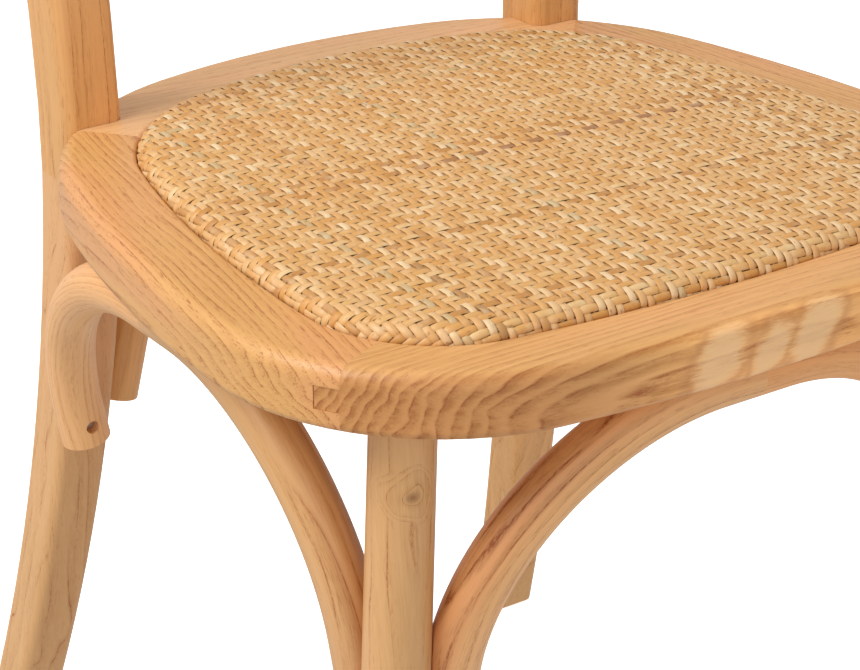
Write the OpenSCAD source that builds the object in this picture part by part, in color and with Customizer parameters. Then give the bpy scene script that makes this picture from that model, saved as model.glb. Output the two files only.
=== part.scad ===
// Dining chair with a bent hoop back, a woven rattan seat pad, a woven rattan back panel
// and eight bent braces under the seat. Sizes are in millimetres.
// The chair faces -Y, +X is the right-hand side for someone who looks at its front, +Z is up.
// The origin is on the floor, under the middle of the chair's overall width and depth.

/* [Seat frame] */
// Height of the top of the seat frame above the floor
seat_height = 478; // [440:1:500]
// Thickness of the seat frame rails
rail_thickness = 34; // [30:1:40]
// Width of the seat outline between its sharp front corners
seat_front_width = 476; // [450:1:500]
// Width of the seat outline between its sharp rear corners
seat_rear_width = 378; // [368:1:388]
// Depth of the seat outline between its sharp corners
seat_depth = 399; // [385:1:412]
// How far the front edge bows forwards
front_bow = 28; // [22:1:34]
// How far each side edge bows outwards
side_bow = 25.5; // [22:0.5:29]
// How far the rear edge bows backwards
rear_bow = 46; // [41:1:50]
// Corner radius of the seat outline at the front
front_corner_r = 130; // [120:1:140]
// Corner radius of the seat outline at the rear
rear_corner_r = 166; // [158:1:172]
// Width of the frame's top face at the front
front_band = 38; // [34:1:44]
// Width of the frame's top face at the sides
side_band = 43; // [40:1:47]
// Width of the frame's top face at the rear
rear_band = 47; // [43:1:50]
// Corner radius of the opening for the pad at the front
opening_front_r = 76; // [70:1:82]
// Corner radius of the opening for the pad at the rear
opening_rear_r = 112; // [104:1:118]
// Roundover along the top outer edge
top_round = 9; // [6:0.5:10]
// Roundover along the bottom outer edge
bottom_round = 5; // [3:0.5:6]
// Roundover along the inner top edge, beside the pad
inner_round = 3; // [1:0.5:4]
// Width of the ledge that carries the seat board
ledge_width = 22; // [20:0.5:26]
// Depth of the rebate above the ledge
rebate_depth = 16; // [14:0.5:18]
// Place of the front mitres along their corner, from the front end of the curve
front_mitre = 0.58; // [0.56:0.01:0.62]
// Place of the rear mitres along their corner, from the side end of the curve
rear_mitre = 0.44; // [0.42:0.01:0.46]
// Distance from the frame's top to the tongue of each corner joint
tongue_top = 11; // [10:0.5:12]
// Thickness of the tongue of each corner joint
tongue_thickness = 12; // [10:0.5:13]
// Length of the tongue beyond the mitre, as a share of the corner's curve
tongue_reach = 0.07; // [0.05:0.01:0.1]

/* [Seat pad] */
// Thickness of the seat board
board_thickness = 10; // [8:0.5:12]
// Thickness of the woven cover
cover_thickness = 2.6; // [2:0.1:3]
// Gap between the woven cover and the seat frame
pad_gap = 0.4; // [0.3:0.1:0.8]
// How far the pad's edge dips below the frame's top
pad_edge_dip = 2; // [1:0.5:3]
// Height of the pad's shoulder above the frame's top
pad_shoulder = 8; // [6:0.5:10]
// Height of the pad's middle above the frame's top
pad_crown = 11; // [9:0.5:14]
// Width of the pad's rounded shoulder
pad_shoulder_width = 13; // [10:1:18]

/* [Front legs] */
// Distance of each front leg from the middle, at the frame's underside
front_leg_x = 179; // [175:1:183]
// Distance of the front legs behind the sharp front line
front_leg_y = 46.5; // [43:0.5:50]
// Distance of each front foot from the middle
front_foot_x = 194; // [188:1:200]
// Diameter of the front legs under the seat
front_leg_top_d = 33.6; // [32:0.2:35]
// Diameter of the front legs at their fullest
front_leg_d = 35.2; // [34:0.2:37]
// Height of the fullest place of the front legs
front_leg_full_z = 262; // [240:1:280]
// Diameter of the front legs at the floor
front_foot_d = 28; // [26:0.5:30]
// Diameter of the tenon on top of each front leg
tenon_d = 20; // [16:0.5:22]
// Length of that tenon
tenon_length = 15; // [12:0.5:16]

/* [Rear legs] */
// Distance of each rear post from the middle, at the frame's underside
rear_post_x = 163; // [161:0.5:164]
// Distance of the rear posts behind the sharp front line
rear_post_y = 401; // [399:0.5:403]
// Width of the post at the seat, from side to side
post_width = 36.5; // [34:0.5:38]
// Depth of the post at the seat, from front to back
post_depth = 41.5; // [39:0.5:43]
// Edge radius of the post
post_round = 8; // [6:0.5:10]
// Distance of each rear foot from the middle
rear_foot_x = 202; // [196:1:208]
// Distance of the rear feet behind the sharp front line
rear_foot_y = 487; // [470:1:500]
// Width of the rear foot
rear_foot_width = 31; // [28:0.5:34]
// Depth of the rear foot
rear_foot_depth = 33; // [30:0.5:36]
// Edge radius of the rear foot
rear_foot_round = 6; // [4:0.5:8]
// Share of the leg's outward sweep that is straight
splay_share = 0.41; // [0.3:0.01:0.6]
// Share of the leg's backward sweep that is straight
rake_share = 0.13; // [0.05:0.01:0.3]

/* [Back] */
// Overall height of the chair
back_height = 890; // [850:1:930]
// Angle at which the back leans
back_lean = 10; // [7:0.5:12]
// Height of the upright stretch of the posts above the frame's underside
back_upright = 85; // [75:1:100]
// Radius of the bend from the upright stretch into the lean
back_bend_r = 320; // [260:10:400]
// Angle at which each post flares outwards
post_flare = 2.2; // [1:0.1:3]
// Radius of the hoop's shoulders
hoop_shoulder_r = 118; // [105:1:125]
// Radius of the hoop's crest
hoop_crest_r = 460; // [400:10:600]
// Width of the hoop's section at the crest, across the hoop
crest_width = 30; // [28:0.5:34]
// Depth of the hoop's section at the crest, from front to back
crest_depth = 29; // [27:0.5:33]
// Height of the middle of the lower back rail above the frame's underside, along the posts
back_rail_rise = 172; // [160:1:190]
// Height of the lower back rail
back_rail_height = 36; // [32:0.5:42]
// Thickness of the lower back rail
back_rail_thickness = 22; // [20:0.5:24]
// How far the middle of the lower back rail arches up
back_rail_arch = 14; // [8:1:20]
// Length of the tenons at the ends of the lower back rail
back_tenon_length = 14; // [10:0.5:16]
// Height of those tenons
back_tenon_height = 24; // [20:0.5:28]
// Thickness of those tenons
back_tenon_thickness = 10; // [8:0.5:12]
// Thickness of the woven back panel
panel_thickness = 3; // [2.4:0.1:3.6]
// Diameter of the reed that holds the panel in its groove
reed_d = 4; // [3.6:0.1:4.4]
// Depth of the groove for the panel and the reed
groove_depth = 6; // [5:0.5:7]

/* [Braces] */
// Diameter of the bent braces
brace_d = 29; // [28:0.5:31]
// Depth of the flat where a brace meets the frame's underside
brace_flat = 1; // [0.6:0.1:1.4]
// Bend radius of the front braces and of the side arches' rear halves
brace_bend_r = 136; // [130:1:140]
// Bend radius of the side arches' front halves
side_front_bend_r = 130; // [124:1:136]
// Distance of the front arch's crown behind the sharp front line
front_arch_y = 4; // [0:0.5:8]
// Distance of the front arch's lower ends from the middle
front_arch_reach = 156; // [154:0.5:158]
// Lean of the front arch
front_arch_lean = 14.2; // [13.5:0.1:15]
// Length of the straight lower end of the front braces
front_brace_tail = 48; // [40:1:56]
// Distance of the side arches' crowns from the middle
side_arch_x = 208; // [206:0.5:211]
// Distance of the side arches' front ends behind the sharp front line
side_arch_front = 77; // [75.5:0.5:78]
// Distance of the side arches' rear ends behind the sharp front line
side_arch_rear = 381.5; // [380:0.5:383]
// Lean of the front halves of the side arches
side_front_lean = 9; // [8.5:0.1:9.6]
// Lean of the rear halves of the side arches
side_rear_lean = 11; // [10.5:0.1:11.5]
// Length of the straight lower end of a side arch's front half
side_front_tail = 58; // [50:1:64]
// Length of the straight lower end of a side arch's rear half
side_rear_tail = 11; // [8:1:16]
// Distance of the rear arch behind the sharp front line
rear_arch_y = 416; // [413:0.5:418]
// Bend radius of the rear braces
rear_bend_r = 138; // [136:1:141]
// Angle that the rear braces bend through
rear_bend_angle = 76; // [74:1:78]
// Length of the straight lower end of the rear braces
rear_brace_tail = 36; // [30:1:42]
// Diameter of the dowel between the two halves of an arch
crown_dowel_d = 8; // [6:0.5:10]
// Length of that dowel
crown_dowel_length = 24; // [20:1:30]

/* [Fasteners] */
// Diameter of the wood screws' shanks
screw_d = 4.4; // [4:0.1:5]
// Diameter of the wood screws' heads
screw_head_d = 7.2; // [6.6:0.1:7.6]
// Height of the wood screws' heads
screw_head_h = 2.6; // [2:0.1:3]
// Diameter of the counterbores over the screw heads
counterbore_d = 8; // [7.8:0.1:8.4]
// Depth of the counterbores in the braces
counterbore_depth = 9; // [7:0.5:11]
// Depth that the brace screws reach into a leg
leg_bite = 14; // [10:0.5:16]
// Depth that the brace screws reach into a rail
rail_bite = 14; // [10:0.5:15]
// Distance of the leg screws from a brace's lower end
end_screw_inset = 13; // [11:0.5:16]
// Distance of the rail screws from the joint between two halves
crown_screw_inset = 30; // [26:1:36]
// Diameter of the post bolts
bolt_d = 6; // [5:0.5:6]
// Diameter of the post bolts' heads
bolt_head_d = 12; // [10:0.5:13]
// Height of the post bolts' heads
bolt_head_h = 3.5; // [3:0.5:4.5]
// Diameter of the barrel nuts in the posts
barrel_d = 10; // [9:0.5:11]
// Length of the barrel nuts
barrel_length = 14; // [12:1:16]
// Diameter of the dowels between the posts and the rear legs
post_dowel_d = 8; // [6:0.5:9]
// Length of the dowels between the posts and the rear legs
post_dowel_length = 40; // [30:1:50]
// Distance of those dowels from the middle of the post
post_dowel_spread = 12; // [11:0.5:12.5]
// Radial clearance round screws, bolts, dowels and tenons
fit_clear = 0.15; // [0.1:0.05:0.3]
// Clearance between housed wooden pieces
wood_clear = 0.3; // [0.2:0.05:0.4]

/* [Feet] */
// Diameter of the glides under the legs
glide_d = 20; // [17:0.5:22]
// Thickness of the glides
glide_thickness = 3; // [2:0.5:5]
// Diameter of the nail in each glide
nail_d = 2.4; // [2:0.1:3]
// Length of the nail in each glide
nail_length = 16; // [12:1:20]

/* [Hidden] */

$fn = 64;
wood = [0.86, 0.66, 0.42];
rattan = [0.88, 0.74, 0.47];
steel = [0.62, 0.62, 0.64];

// Pieces per side and per corner of the seat outline, and per quarter of a section's rounding
side_steps = 10;
corner_steps = 16;
round_steps = 4;

// Heights and places that follow from the driving sizes
frame_top = seat_height;
frame_under = seat_height - rail_thickness;
brace_r = brace_d / 2;
crown_z = frame_under - brace_r + brace_flat;
overall_depth = front_bow + rear_foot_y + rear_foot_depth / 2;
// The sharp front line of the seat outline, from which the places of the legs are measured
front_line = front_bow - overall_depth / 2;
over = 1;

function unit(v) = v / norm(v);
function turn_left(v) = [-v[1], v[0]];
function direction(a) = [cos(a), sin(a)];
function lift(p, z) = [p[0], p[1], z];
function between(a, b, t) = a + (b - a) * t;
function later(a, from) = a < from ? later(a + 360, from) : a;
function heading(v) = atan2(v[1], v[0]);

// Circle that passes through a and b and bulges by s to the right of the way from a to b: [centre, radius]
function bow_circle(a, b, s) =
    let(c = norm(b - a), r = (c * c / 4 + s * s) / (2 * s))
    [(a + b) / 2 + turn_left(unit(b - a)) * (r - s), r];

// Point at distance p from a and q from b, on the side of the point near
function meeting(a, p, b, q, near) =
    let(
        d = norm(b - a),
        u = unit(b - a),
        along = (p * p - q * q + d * d) / (2 * d),
        aside = sqrt(p * p - along * along),
        one = a + u * along + turn_left(u) * aside,
        two = a + u * along - turn_left(u) * aside
    )
    norm(one - near) < norm(two - near) ? one : two;

seat_corners = [
    [-seat_front_width / 2, front_line],
    [seat_front_width / 2, front_line],
    [seat_rear_width / 2, front_line + seat_depth],
    [-seat_rear_width / 2, front_line + seat_depth]
];
seat_bows = [front_bow, side_bow, rear_bow, side_bow];
seat_circles = [for (i = [0:3]) bow_circle(seat_corners[i], seat_corners[(i + 1) % 4], seat_bows[i])];

// Closed outline inside the seat's four bowed sides, each moved in by its inset, with four corner radii.
// It starts with the front side, runs anticlockwise, and has the same number of points for any insets.
function outline(insets, radii) =
    let(
        rs = [for (i = [0:3]) seat_circles[i][1] - insets[i]],
        corners = [for (i = [0:3]) let(j = (i + 1) % 4)
            meeting(seat_circles[i][0], rs[i] - radii[i], seat_circles[j][0], rs[j] - radii[i], seat_corners[j])]
    )
    [for (i = [0:3]) let(
        h = (i + 3) % 4,
        j = (i + 1) % 4,
        c = seat_circles[i][0],
        a0 = heading(corners[h] - c),
        a1 = later(heading(corners[i] - c), a0),
        b0 = heading(corners[i] - c),
        b1 = later(heading(corners[i] - seat_circles[j][0]), b0)
    ) each concat(
        [for (k = [0:side_steps - 1]) c + rs[i] * direction(between(a0, a1, k / side_steps))],
        [for (k = [0:corner_steps - 1]) corners[i] + radii[i] * direction(between(b0, b1, k / corner_steps))]
    )];

rim = outline([0, 0, 0, 0], [front_corner_r, rear_corner_r, rear_corner_r, front_corner_r]);
bands = [front_band, side_band, rear_band, side_band];
opening_radii = [opening_front_r, opening_rear_r, opening_rear_r, opening_front_r];
function opening(extra) = outline([for (b = bands) b + extra], [for (r = opening_radii) r - extra]);
inner = opening(0);
stations = len(rim);

// Station numbers, which may be fractions, of the four mitres
function corner_station(i, share) = i * (side_steps + corner_steps) + side_steps + share * corner_steps;
mitres = [
    corner_station(0, front_mitre), corner_station(1, rear_mitre),
    corner_station(2, 1 - rear_mitre), corner_station(3, 1 - front_mitre)
];
tongue_steps = tongue_reach * corner_steps;

// Point of a closed outline at a station number
function along(path, s) =
    let(i = floor(s), n = len(path))
    between(path[((i % n) + n) % n], path[(((i + 1) % n) + n) % n], s - i);

// Whole stations strictly between two station numbers, with both ends
function run(a, b) = concat([a], [for (i = [floor(a) + 1:ceil(b) - 1]) if (i > a + 0.05 && i < b - 0.05) i], [b]);

// Quarter round of a section's corner, round c with radius r, from angle a
function rounding(c, r, a) = [for (k = [0:round_steps]) c + r * direction(a + 90 * k / round_steps)];

// Closed solid through a list of sections with equal numbers of points, each section anticlockwise
// when seen from the end of the run, and starting at a point that sees all its other points
module loft(sections) {
    n = len(sections[0]);
    m = len(sections);
    points = [for (s = sections) each s];
    walls = [for (i = [0:m - 2]) for (k = [0:n - 1])
        let(a = i * n + k, b = i * n + (k + 1) % n, c = a + n, d = b + n)
        each [[a, c, b], [b, c, d]]];
    first = [for (k = [0:n - 1]) k];
    last = [for (k = [0:n - 1]) (m - 1) * n + (n - k) % n];
    polyhedron(points = points, faces = concat(walls, [first, last]), convexity = 6);
}

// Section of the seat frame: distance in from the rim, and height above the frame's top
function rail_section(w) = concat(
    [[w, -rebate_depth]],
    rounding([w - inner_round, -inner_round], inner_round, 0),
    rounding([top_round, -top_round], top_round, 90),
    rounding([bottom_round, bottom_round - rail_thickness], bottom_round, 180),
    [[w + ledge_width, -rail_thickness], [w + ledge_width, -rebate_depth]]
);

// Rail of the seat frame between two station numbers
module rail(from, to) {
    loft([for (s = run(from, to)) let(
        o = along(rim, s),
        u = unit(along(inner, s) - o)
    ) [for (p = rail_section(norm(along(inner, s) - o))) lift(o + u * p[0], frame_top + p[1])]]);
}

// Flat tongue of a corner joint between two station numbers, and the slot for it
tongue_edge = inner_round + 2;
module tongue(from, to, outer, clear) {
    rim_side = [for (s = [from, (from + to) / 2, to]) let(o = along(rim, s))
        o + unit(along(inner, s) - o) * outer];
    inner_side = [for (s = [to, from]) let(n = along(inner, s))
        n - unit(n - along(rim, s)) * (tongue_edge - clear)];
    translate([0, 0, frame_top - tongue_top - tongue_thickness - clear])
        linear_extrude(tongue_thickness + 2 * clear) polygon(concat(rim_side, inner_side));
}
tongue_root = 0.6;
tongue_tip = 0.04;
module slot(from, to) {
    tongue(from, to, -over, fit_clear);
}

// Rounded rectangle round the origin, anticlockwise
function rounded_rect(w, d, r) = concat(
    rounding([w / 2 - r, d / 2 - r], r, 0), rounding([r - w / 2, d / 2 - r], r, 90),
    rounding([r - w / 2, r - d / 2], r, 180), rounding([w / 2 - r, r - d / 2], r, 270)
);

// Both sides of the chair
module both() {
    children();
    mirror([1, 0, 0]) children();
}

// Wood screw with the underside of its head at the origin, pointing up
module screw(length) {
    translate([0, 0, -screw_head_h]) cylinder(h = screw_head_h, d = screw_head_d);
    cylinder(h = length, d = screw_d);
}

// Bore for that screw, with a counterbore that opens below it
module screw_bore(length) {
    translate([0, 0, -2 * brace_d]) cylinder(h = 2 * brace_d, d = counterbore_d);
    translate([0, 0, -over]) cylinder(h = length + over + fit_clear, d = screw_d + 2 * fit_clear);
}

// Rear posts

post_at = [rear_post_x, front_line + rear_post_y];

// Middle, width, depth and rounding of a rear leg, from its top at t = 0 to its foot at t = 1
function sweep_share(straight, t) = straight * t + (1 - straight) * t * t;
function rear_leg_middle(t) = [
    between(rear_post_x, rear_foot_x, sweep_share(splay_share, t)),
    front_line + between(rear_post_y, rear_foot_y, sweep_share(rake_share, t)),
    between(frame_under, glide_thickness, t)
];
function rear_leg_section(t) = [for (p = rounded_rect(
    between(post_width, rear_foot_width, t),
    between(post_depth, rear_foot_depth, t),
    between(post_round, rear_foot_round, t)
)) rear_leg_middle(t) + lift(p, 0)];
rear_leg_steps = 20;

// Straight piece that follows a rear leg closely for a short way up and down from height z
module rear_leg_near(z, clear) {
    t = (frame_under - z) / (frame_under - glide_thickness);
    way = rear_leg_middle(t - 0.05) - rear_leg_middle(t + 0.05);
    translate(rear_leg_middle(t)) rotate([-asin(way[1] / norm(way)), atan2(way[0], way[2]), 0])
        translate([0, 0, -brace_d]) linear_extrude(2 * brace_d) polygon(rounded_rect(
            between(post_width, rear_foot_width, t) + 2 * clear,
            between(post_depth, rear_foot_depth, t) + 2 * clear,
            between(post_round, rear_foot_round, t) + clear));
}

// The bolt that holds a post runs from the inner edge of the frame straight out into the post
rear_corner = meeting(
    seat_circles[1][0], seat_circles[1][1] - rear_corner_r,
    seat_circles[2][0], seat_circles[2][1] - rear_corner_r, seat_corners[2]
);
bolt_z = frame_under + (rail_thickness - rebate_depth) / 2;
bolt_reach = norm(post_at - rear_corner) - (rear_corner_r - rear_band - ledge_width);
bolt_recess = bolt_head_h + 3;
module at_bolt() {
    translate(lift(post_at, bolt_z)) rotate([0, 0, heading(post_at - rear_corner)]) children();
}
module bolt_bore() {
    at_bolt() {
        translate([-bolt_reach, 0, 0]) rotate([0, 90, 0])
            cylinder(h = bolt_reach + barrel_d / 2 + 2, d = bolt_d + 2 * fit_clear);
        translate([-bolt_reach - 30, 0, 0]) rotate([0, 90, 0])
            cylinder(h = 30 + bolt_recess, d = bolt_head_d + 2 * wood_clear);
    }
}
module barrel_bore() {
    at_bolt() translate([0, 0, -rail_thickness]) cylinder(
        h = rail_thickness + barrel_length / 2 + fit_clear, d = barrel_d + 2 * fit_clear);
}
module at_post_dowels() {
    for (side = [-1, 1]) translate([0, 0, frame_under - bolt_z]) at_bolt()
        translate([0, side * post_dowel_spread, 0]) children();
}
module post_dowel(clear) {
    translate([0, 0, -post_dowel_length / 2 - clear])
        cylinder(h = post_dowel_length + 2 * clear, d = post_dowel_d + 2 * clear);
}

// Housing of a post in the seat frame
module post_housing() {
    translate(lift(post_at, frame_under - over)) linear_extrude(rail_thickness + 2 * over) polygon(
        rounded_rect(post_width + 2 * wood_clear, post_depth + 2 * wood_clear, post_round + wood_clear));
}

// Back hoop. It is drawn in its own flat sheet: across, and up along the posts from the frame's underside.
// The sheet stands upright at the seat, bends back and then leans.

bend_length = back_bend_r * back_lean * PI / 180;
lean_start = back_upright + bend_length;
crest_reach = (crest_width / 2 - post_round) * cos(back_lean) + (crest_depth / 2 - post_round) * sin(back_lean)
    + post_round;
crest_up = lean_start
    + (back_height - crest_reach - frame_under - back_upright - back_bend_r * sin(back_lean)) / cos(back_lean);
flare_start = rail_thickness + 6;
crest_centre = [0, crest_up - hoop_crest_r];

// Shoulder's centre: on the line beside the flared post, and inside the crest's circle
flare_way = direction(90 - post_flare);
shoulder_line = [rear_post_x, flare_start] + hoop_shoulder_r * turn_left(flare_way);
shoulder_away = shoulder_line - crest_centre;
shoulder_reach = hoop_crest_r - hoop_shoulder_r;
shoulder_half = shoulder_away * flare_way;
shoulder_along = -shoulder_half
    + sqrt(shoulder_half * shoulder_half - shoulder_away * shoulder_away + shoulder_reach * shoulder_reach);
shoulder_centre = shoulder_line + shoulder_along * flare_way;
crest_start = heading(shoulder_centre - crest_centre);
shoulder_steps = 14;
crest_steps = 5;
post_rows = [0, flare_start, back_upright, back_upright + bend_length / 4, back_upright + bend_length / 2,
    back_upright + bend_length * 3 / 4, lean_start];

// Right half of the hoop's middle line: place, way of travel and share of the taper from post to crest
function half_hoop() = concat(
    [for (u = post_rows) let(s = max(0, (u - flare_start) / cos(post_flare)))
        [[rear_post_x, min(u, flare_start)] + s * flare_way, u < flare_start + 1 ? [0, 1] : flare_way, 0, 0]],
    [for (k = [0:shoulder_steps]) let(a = between(-post_flare, crest_start, k / shoulder_steps))
        [shoulder_centre + hoop_shoulder_r * direction(a), direction(a + 90), k / shoulder_steps, 0.6 + 0.3 * k / shoulder_steps]],
    [for (k = [1:crest_steps]) let(a = between(crest_start, 90, k / crest_steps))
        [crest_centre + hoop_crest_r * direction(a), direction(a + 90), 1, 0.9 + 0.1 * k / crest_steps]]
);
right_hoop = half_hoop();
hoop_line = concat(right_hoop, [for (k = [len(right_hoop) - 2:-1:0]) let(h = right_hoop[k])
    [[-h[0][0], h[0][1]], [h[1][0], -h[1][1]], h[2], h[3]]]);

// Angle of the sheet at height u along it, and the place of a point of the sheet
function sheet_angle(u) = back_lean * min(1, max(0, (u - back_upright) / bend_length));
function on_sheet(x, u) = let(a = sheet_angle(u), past = max(0, u - lean_start)) [
    x,
    post_at[1] + back_bend_r * (1 - cos(a)) + past * sin(back_lean),
    frame_under + min(u, back_upright) + back_bend_r * sin(a) + past * cos(back_lean)
];
function sheet_back(u) = [0, cos(sheet_angle(u)), -sin(sheet_angle(u))];
function sheet_up(u) = [0, sin(sheet_angle(u)), cos(sheet_angle(u))];

// Moves a flat drawing, across and up, onto the leaning part of the sheet, with its thickness to the front
module at_lean() {
    translate(on_sheet(0, lean_start)) rotate([90 - back_lean, 0, 0]) translate([0, -lean_start, 0]) children();
}

// Inner edge of the leaning hoop and top edge of the lower rail, moved in by an inset: a closed outline
rail_chord = rear_post_x + (back_rail_rise - flare_start) * tan(post_flare);
rail_circle = bow_circle([rail_chord, back_rail_rise], [-rail_chord, back_rail_rise], back_rail_arch);
function rail_edge(x, offset) = rail_circle[0][1] + sqrt(pow(rail_circle[1] + offset, 2) - x * x);
function post_edge(u, inset) = rear_post_x + (u - flare_start) * tan(post_flare)
    - (post_width / 2 + inset) / cos(post_flare);
function back_outline(inset) = let(
    offset = back_rail_height / 2 + inset,
    foot_u = rail_edge(post_edge(back_rail_rise, inset), offset),
    foot_x = post_edge(foot_u, inset),
    arc = [for (h = hoop_line) if (h[2] > 0) h[0] + turn_left(h[1])
        * (between(post_width, crest_width, h[2]) / 2 + inset)]
) concat(
    [[foot_x, foot_u]],
    [post_edge_point(inset)],
    arc,
    [mirrored(post_edge_point(inset))],
    [for (k = [0:9]) let(x = between(-foot_x, foot_x, k / 10)) [x, rail_edge(x, offset)]]
);
function mirrored(p) = [-p[0], p[1]];
function post_edge_point(inset) = shoulder_centre + (hoop_shoulder_r - post_width / 2 - inset) * direction(-post_flare);

panel_stack = panel_thickness + reed_d;
module panel_plate(inset, from, thickness) {
    at_lean() translate([0, 0, from]) linear_extrude(thickness) polygon(back_outline(inset));
}
module panel_groove() {
    panel_plate(-groove_depth, -panel_stack / 2 - fit_clear, panel_stack + 2 * fit_clear);
}

rail_end = post_edge(back_rail_rise, 0);
module back_tenons(clear) {
    both() at_lean() translate([rail_end - over - clear, back_rail_rise - back_tenon_height / 2 - clear,
        -back_tenon_thickness / 2 - clear])
        cube([back_tenon_length + over + 2 * clear, back_tenon_height + 2 * clear, back_tenon_thickness + 2 * clear]);
}

// Braces

// Half of an arch in its own plane: the crown's end is at the origin, the rod runs along +X and bends down
module half_arch(crown, bend_r, angle, tail) {
    if (crown > 0) rotate([0, 90, 0]) cylinder(h = crown, r = brace_r);
    translate([crown, 0, -bend_r]) rotate([0, angle, 0]) {
        rotate([90, 0, 0]) rotate([0, 0, 90])
            rotate_extrude(angle = angle, $fn = 96) translate([bend_r, 0]) circle(r = brace_r, $fn = 48);
        translate([0, 0, bend_r]) rotate([0, 90, 0]) cylinder(h = tail, r = brace_r);
    }
}

// Screw from the inside of an arch's lower end into the leg, and screw from below its crown into the rail
leg_screw_length = brace_d - counterbore_depth - 3 + leg_bite;
rail_screw_length = brace_d - counterbore_depth - brace_flat + rail_bite;
module at_end_screw(crown, bend_r, angle, tail) {
    translate([
        crown + bend_r * sin(angle) + (tail - end_screw_inset) * cos(angle) - brace_r + counterbore_depth,
        0, bend_r * (cos(angle) - 1) - (tail - end_screw_inset) * sin(angle)
    ]) rotate([0, 90, 0]) children();
}
module at_crown_screw() {
    translate([crown_screw_inset, 0, counterbore_depth - brace_r]) children();
}
module crown_dowel_bore(clear) {
    rotate([0, 90, 0]) translate([0, 0, -crown_dowel_length / 2 - clear])
        cylinder(h = crown_dowel_length + 2 * clear, d = crown_dowel_d + 2 * clear);
}

front_crown = front_arch_reach - brace_bend_r;
rear_crown = 0;
side_middle = (side_arch_front + side_arch_rear) / 2;
side_half = (side_arch_rear - side_arch_front) / 2;

// Crown, bend, angle and tail of the four kinds of half arch
front_kind = [front_crown, brace_bend_r, 90, front_brace_tail];
rear_kind = [rear_crown, rear_bend_r, rear_bend_angle, rear_brace_tail];
side_front_kind = [side_half - side_front_bend_r, side_front_bend_r, 90, side_front_tail];
side_rear_kind = [side_half - brace_bend_r, brace_bend_r, 90, side_rear_tail];
module with_kind(kind, what) {
    if (what == "rod") half_arch(kind[0], kind[1], kind[2], kind[3]);
    if (what == "end") at_end_screw(kind[0], kind[1], kind[2], kind[3]) children();
    if (what == "crown") at_crown_screw() children();
    if (what == "joint") crown_dowel_bore(fit_clear);
}

// Places of the right-hand half arches. Each runs from its crown along +X of its own frame.
module at_front_arch() {
    translate([0, front_line + front_arch_y, crown_z]) rotate([front_arch_lean, 0, 0]) children();
}
module at_rear_arch() {
    translate([0, front_line + rear_arch_y, crown_z]) children();
}
module at_side_arch(turn, lean) {
    translate([side_arch_x, front_line + side_middle, crown_z]) rotate([0, lean, 0])
        rotate([0, 0, turn]) children();
}

// Seat pad: rings of its upper surface, moved in and down together

pad_middle = [0, front_line + (seat_depth + rear_bow - front_bow) / 2];
function pad_ring(extra) = let(o = opening(pad_gap + extra)) [for (k = [0:2:len(o) - 1]) o[k]];
function pad_rings(extra, drop, shoulder_rings, middle_rings) = concat(
    [for (k = [0:shoulder_rings]) let(t = 90 * k / shoulder_rings)
        [for (p = pad_ring(extra + pad_shoulder_width * (1 - cos(t))))
            lift(p, frame_top - pad_edge_dip - drop + (pad_shoulder + pad_edge_dip) * sin(t))]],
    [for (k = [1:middle_rings]) let(t = 0.93 * k / middle_rings)
        [for (p = pad_ring(extra + pad_shoulder_width))
            lift(between(p, pad_middle, t), frame_top - drop
                + between(pad_shoulder, pad_crown, 1 - (1 - t) * (1 - t)))]]
);
function flat_ring(extra, z) = [for (p = pad_ring(extra)) lift(p, z)];
function backwards(list) = [for (k = [len(list) - 1:-1:0]) list[k]];
ledge_z = frame_top - rebate_depth;
foam_gap = 0.3;

// Screws through the ledge into the seat board
ledge_mid = (ledge_width + pad_gap + cover_thickness) / 2;
board_screw_bite = 8;
board_screw_length = rail_thickness - rebate_depth - screw_head_h + board_screw_bite;
board_screw_shares = [[0.3, 0.7], [0.5], [0.3, 0.7], [0.5]];
module at_board_screws() {
    for (i = [0:3]) for (share = board_screw_shares[i]) {
        s = i * (side_steps + corner_steps) + side_steps * share;
        o = along(rim, s);
        n = along(inner, s);
        translate(lift(n + unit(n - o) * ledge_mid, frame_under + screw_head_h)) children();
    }
}

// Turned front legs, with their splay

leg_span = frame_under - glide_thickness;
leg_lean = atan2(front_foot_x - front_leg_x, leg_span);
leg_at = [front_leg_x, front_line + front_leg_y];
leg_profile = [for (k = [0:6]) let(t = k / 6)
    [front_foot_d / 2 + (front_leg_d - front_foot_d) / 2 * sin(90 * t), front_leg_full_z * t]];
module leg_shape(clear) {
    at_leg_top() translate([0, 0, -leg_span / cos(leg_lean)]) rotate_extrude() polygon(concat(
        [[0, -over]],
        [[front_foot_d / 2 + clear, -over]],
        [for (p = leg_profile) p + [clear, 0]],
        [[front_leg_top_d / 2 + clear, leg_span + 3], [0, leg_span + 3]]
    ));
}
module at_leg_top() {
    translate(lift(leg_at, frame_under)) rotate([0, -leg_lean, 0]) children();
}
module tenon(clear) {
    at_leg_top() translate([0, 0, -2]) cylinder(h = tenon_length + 2 + clear, d = tenon_d + 2 * clear);
}

// Feet

front_foot_at = [front_foot_x, front_line + front_leg_y];
rear_foot_at = [rear_foot_x, front_line + rear_foot_y];
nail_recess = 0.8;
nail_head_d = 5;
nail_head_h = 1;
module at_feet() {
    both() {
        translate(front_foot_at) children();
        translate(rear_foot_at) children();
    }
}
module nail(clear) {
    translate([0, 0, nail_recess]) cylinder(h = nail_length + clear, d = nail_d + 2 * clear);
    translate([0, 0, nail_recess - clear * 10]) cylinder(h = nail_head_h + clear * 10, d = nail_head_d + 2 * clear);
}

// Bores that the braces' screws make, on the right-hand side

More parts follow.
